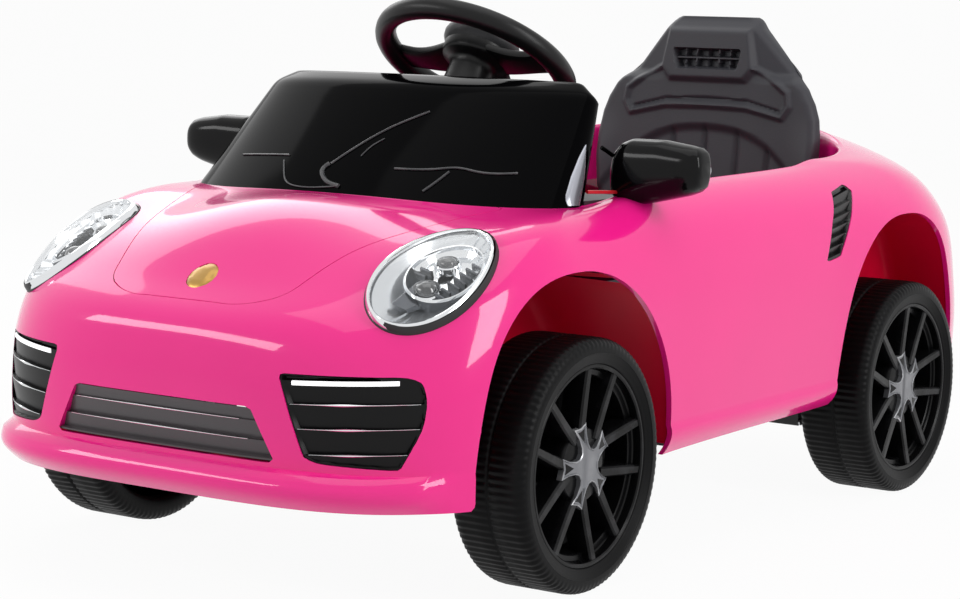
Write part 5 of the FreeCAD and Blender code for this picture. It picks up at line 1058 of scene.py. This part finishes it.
shelf = skin_mesh([[(x, y + (DASH_Y - y) * share, z + (DASH_HIGH - z) * share ** 0.5) for x, y, z in foot]
                   for share in np.linspace(0, 1, 7)])
piece("screen_moulding", gather(screen, wipers, light, frame_bar, red_bar, shelf),
      [screen_black, wiper_glint_grey, quarter_silver, screen_black, bar_red, screen_black], "root", ["windscreen"],
      32)

# Door mirrors: gloss black shells, fixed on a short stem at the foot of the screen, with a silvered plate
# let in at the back. The shell is rounder at its inner end and thinner towards its tip.
mirror_black = moulded("mirror_black", paint(6, 6, 7), 0.12, (600, 0.01), spread=0.1, wear_and_glint_amount=0.2, dusty=0.001,
                       rub_and_glint=paint(40, 40, 42), specular=0.16)
MIRROR_TOP = ((184.5, 324), (185.5, 331), (188, 338), (193, 343), (201, 346), (230, 346.3), (255, 343),
              (263, 341), (267, 337), (268.6, 330))
MIRROR_FOOT = ((184.5, 305), (185.5, 298), (189, 294), (197, 292), (207, 292), (230, 297), (253, 302.5),
               (262, 306), (266.5, 310), (268.6, 318))


def swollen(share, power):
    """A share from -1 to 1 raised to a power, with its sign kept."""
    return math.copysign(abs(share) ** power, share)


MIRROR_Y, MIRROR_MID, MIRROR_HALF = -149.5, 226.5, 42.2
inner_end, tip = [184.5, 184.9, 185.5, 186.5], [266.5, 267.6, 268.3, 268.6]
rows = []
for x in np.concatenate((inner_end, np.linspace(188, 265, 30), tip)):
    swell = (1 - min(1, abs((x - MIRROR_MID) / MIRROR_HALF)) ** 3.6) ** (1 / 3.6)
    low, high = np.interp(x, *zip(*MIRROR_FOOT)), np.interp(x, *zip(*MIRROR_TOP))
    half_high, middle = (high - low) / 2, (high + low) / 2
    ring = []
    for t in even_turns(40):
        c, d = math.cos(t), math.sin(t)
        deep = 19 * abs(c) ** 0.75 if c < 0 else 9.5 * abs(c) ** 0.35
        y = MIRROR_Y + math.copysign(deep * (0.12 + 0.88 * swell ** 0.7), c)
        ring.append((x, y, middle + half_high * swollen(d, 0.72)))
    rows.append(ring)
shell = skin_mesh(rows, ring=True, ends=(0, -1))
stem = tube(spline([(206, -151, 306), (199, -151, 300), (191, -152, 296)], 6), np.linspace(9, 7, 13), 16)
mirror_mesh(shell, stem)
piece("mirror_shells", gather(shell, stem), mirror_black, "root", ["mirror_left", "mirror_right"])
dress(moulded("mirror_face", paint(205, 210, 214), 0.04, (500, 0.004), spread=0.02, Metallic=1.0),
      "mirror_glasses")

# Dashboard and its controls: a grained black moulding screwed in under the screen, with a red power button
# and a grey direction rocker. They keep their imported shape.
dash_black = moulded("dash_black", paint(34, 34, 37), 0.5, (380, 0.3), spread=0.14, wear_and_glint_amount=0)
dress(dash_black, "dashboard")
dress(moulded("button_red", paint(206, 24, 28), 0.3, (700, 0.05), wear_and_glint_amount=0), "power_button")
dress(moulded("rocker_grey", paint(96, 98, 102), 0.4, (800, 0.1), wear_and_glint_amount=0), "direction_switch")

# Steering wheel: a thick black grip moulded on three broad spokes, with a stepped boss over the column.
# The pad on top holds two horn buttons.
WHEEL_AT = np.array((0, -86, 409.5))
WHEEL_UP = np.array((0, 0.5399, 0.8417))
WHEEL_DOWN = np.array((0, 0.8417, -0.5399))
WHEEL_LEFT = np.array((1.0, 0, 0))


def wheel_point(left, down, up):
    """A point of the steering wheel, by its own directions."""
    return WHEEL_AT + left * WHEEL_LEFT + down * WHEEL_DOWN + up * WHEEL_UP


def wheel_rings(rings):
    """A round skin on the column's axis: each ring has its radius and height."""
    return skin_mesh([[wheel_point(r * math.cos(t), r * math.sin(t), h) for t in even_turns(64)]
                      for r, h in rings], ring=True)


grip_black = moulded("grip_black", paint(10, 10, 11), 0.34, (700, 0.1), dusty=0.003, rub_and_glint=paint(50, 50, 53),
                     specular=0.25)
GRIP_REACH, GRIP_THICK, GRIP_HIGH = 83, 9, 9.4
rows = []
for turn in even_turns(128):
    swell = 1 + 0.06 * math.cos(turn * 2) ** 2
    ring = []
    for t in even_turns(20):
        reach = GRIP_REACH + GRIP_THICK * swell * swollen(math.cos(t), 0.9)
        ring.append(wheel_point(reach * math.cos(turn), reach * math.sin(turn), -9 + GRIP_HIGH * math.sin(t)))
    rows.append(ring)
grip = skin_mesh(rows + rows[:1], ring=True)
spokes = bmesh.new()
for left, down, half in ((1, 0, 23), (-1, 0, 23), (0, 1, 22)):
    rows = []
    for share in np.linspace(0, 1, 12):
        reach = 18 + 60 * share
        half_at = half * (1 - 0.42 * math.sin(math.pi * min(share, 0.8) / 1.6) + 0.25 * max(0, share - 0.7))
        sink = -6 - 3 * math.sin(math.pi * share)
        ring = []
        for t in even_turns(16):
            off = half_at * swollen(math.cos(t), 0.5)
            ring.append(wheel_point(left * reach - down * off, down * reach + left * off,
                                    sink + 5 * swollen(math.sin(t), 0.6)))
        rows.append(ring)
    spokes = gather(spokes, skin_mesh(rows, ring=True))
boss = wheel_rings([(2, 1), (29, 1), (31, -1), (31, -9), (29, -12), (23, -14), (20.6, -17), (20, -22),
                    (20.6, -32), (22, -44), (24.4, -56), (27, -67), (27.8, -72), (27.4, -75), (26, -76),
                    (7, -76)])
piece("steering_grip", gather(grip, spokes, boss), grip_black, "steering", ["steering_wheel"])
pad = wheel_rings([(29, -3), (32, 1), (34, 5), (34.4, 9), (33.4, 12), (31, 13.8), (26, 14.6), (24.6, 13.9),
                   (12, 14.4), (1, 14.6)])
pad_black = moulded("pad_black", paint(30, 30, 33), 0.45, (420, 0.22))
piece("horn_pad", pad, pad_black, "steering", ["steering_pad"])
dress(moulded("horn_grey", paint(150, 152, 156), 0.35, (700, 0.06), wear_and_glint_amount=0.5),
      "horn_button_left", "horn_button_right")

# Seat: a hollow bucket seat blow-moulded in dark grey plastic with a fine grain, screwed to the shell.
# A slotted grille, a raised bead and upright channels are part of the moulding.
SEAT_FOOT, SEAT_TOP, SEAT_LEAN, EDGE_ROUND = 186, 443, 0.0875, 9
SEAT_FACE, SEAT_BACK, SEAT_COLUMNS = 299, 310, 141
SEAT_WIDE = ((SEAT_FOOT, 100), (230, 112), (270, 121), (300, 124.5), (325, 125), (345, 122.5), (360, 117),
             (374, 108.5), (391, 91), (415, 69.5), (432, 54), (438, 50), (441, 47), (SEAT_TOP, 43))


def line_away(x, z, path):
    """Distance to a line through points, mirrored across the seat's middle."""
    away = np.full(np.shape(x), 1e3)
    for (x0, z0), (x1, z1) in zip(path, path[1:]):
        run = np.array((x1 - x0, z1 - z0), float)
        share = np.clip(((np.abs(x) - x0) * run[0] + (z - z0) * run[1]) / (run @ run), 0, 1)
        away = np.minimum(away, np.hypot(np.abs(x) - x0 - share * run[0], z - z0 - share * run[1]))
    return away


slot_panel = outline([(-38, 412), (38, 412), (38.5, 404), (34, 391), (-34, 391), (-38.5, 404)], 3)
head_panel = outline([(-48, 434), (48, 434), (57, 391), (44, 377), (-44, 377), (-57, 391)], 2)
bead_path = [(54, 392), (73, 383), (91, 370), (93, 357), (86, 346), (46, 354.5), (0, 355.5)]
groove_path = [(82, 351.5), (46, 360.5), (0, 362)]


def seat_relief(x, z):
    """How far the seat's front stands out from its plain leaning face."""
    lift = 6 * ease(-head_panel(x, z) / 7) * ease((z - 374) / 6)
    lift = lift - 9 * ease((z - 430) / 13) - 0.32 * np.clip(np.abs(x) - 48, 0, 40) * ease((z - 378) / 12)
    lift = lift + 3.4 * ease(1 - line_away(x, z, bead_path) / 5)
    lift = lift - 1.8 * ease(1 - line_away(x, z, groove_path) / 2.4)
    arch = 338 - 52 * (np.abs(x) / 106) ** 2.6
    inside = ease((arch - z) / 9)
    lift = lift - 4.5 * inside
    for middle in (-70, -35.5, 0, 35.5, 70):
        channel = np.abs(x - middle * (1 + 0.06 * np.cos(z / 60)))
        lift = lift - 2.6 * inside * np.exp(-(channel / 2.3) ** 2)
    lift = lift + 6 * ease((np.abs(x) - 88) / 34) * ease((352 - z) / 60)
    hole = ease(-slot_panel(x, z) / 1.2)
    bars = np.minimum(np.abs((x + 38) % 12.67 - 6.33), 9) > 5.2
    cross = np.abs(z - 402.5) < 1.2
    return lift - 4 * hole - 7 * hole * ease((-slot_panel(x, z) - 1.6) / 1.0) * ~(bars | cross)


z_rows = np.concatenate((np.linspace(SEAT_FOOT, 330, 60), np.linspace(331.4, 441, 84), [442.2, SEAT_TOP]))
bowed = np.sin(np.linspace(-1, 1, SEAT_COLUMNS) * math.pi / 2 * 0.97) / math.sin(math.pi / 2 * 0.97)
rows = []
for z in z_rows:
    half = np.interp(z, *zip(*SEAT_WIDE))
    lean = (z - SEAT_FOOT) * SEAT_LEAN
    x = 0.25 * half * bowed + 0.75 * np.linspace(-half, half, SEAT_COLUMNS)
    edge = np.clip((np.abs(x) - (half - EDGE_ROUND)) / EDGE_ROUND, 0, 1)
    y = SEAT_FACE + lean - seat_relief(x, np.full_like(x, z)) + EDGE_ROUND * (1 - np.sqrt(1 - edge ** 2))
    thick = np.interp(z, (SEAT_FOOT, 320, SEAT_TOP), (34, 30, 20))
    back_x = np.linspace(half, -half, 29)
    back_y = SEAT_BACK + lean + 9 * ease((z - 365) / 40)
    back_y = back_y + (thick * 0.7 + 8) * (1 - (np.abs(back_x) / half) ** 4)
    rows.append(np.concatenate((stacked(x, y, z), stacked(back_x, back_y, z))))
seat = skin_mesh(rows, ring=True, ends=(-1,))
seat_grey = moulded("seat_grey", paint(55, 55, 60), 0.5, (520, 0.22), dusty=0.002, specular=0.3)
piece("seat_shell", seat, seat_grey, "root", ["seat_back"], 40)
dress(moulded("pan_grey", paint(55, 55, 60), 0.5, (520, 0.22), spread=0.12, wear_and_glint_amount=0, specular=0.3), "seat_pan")
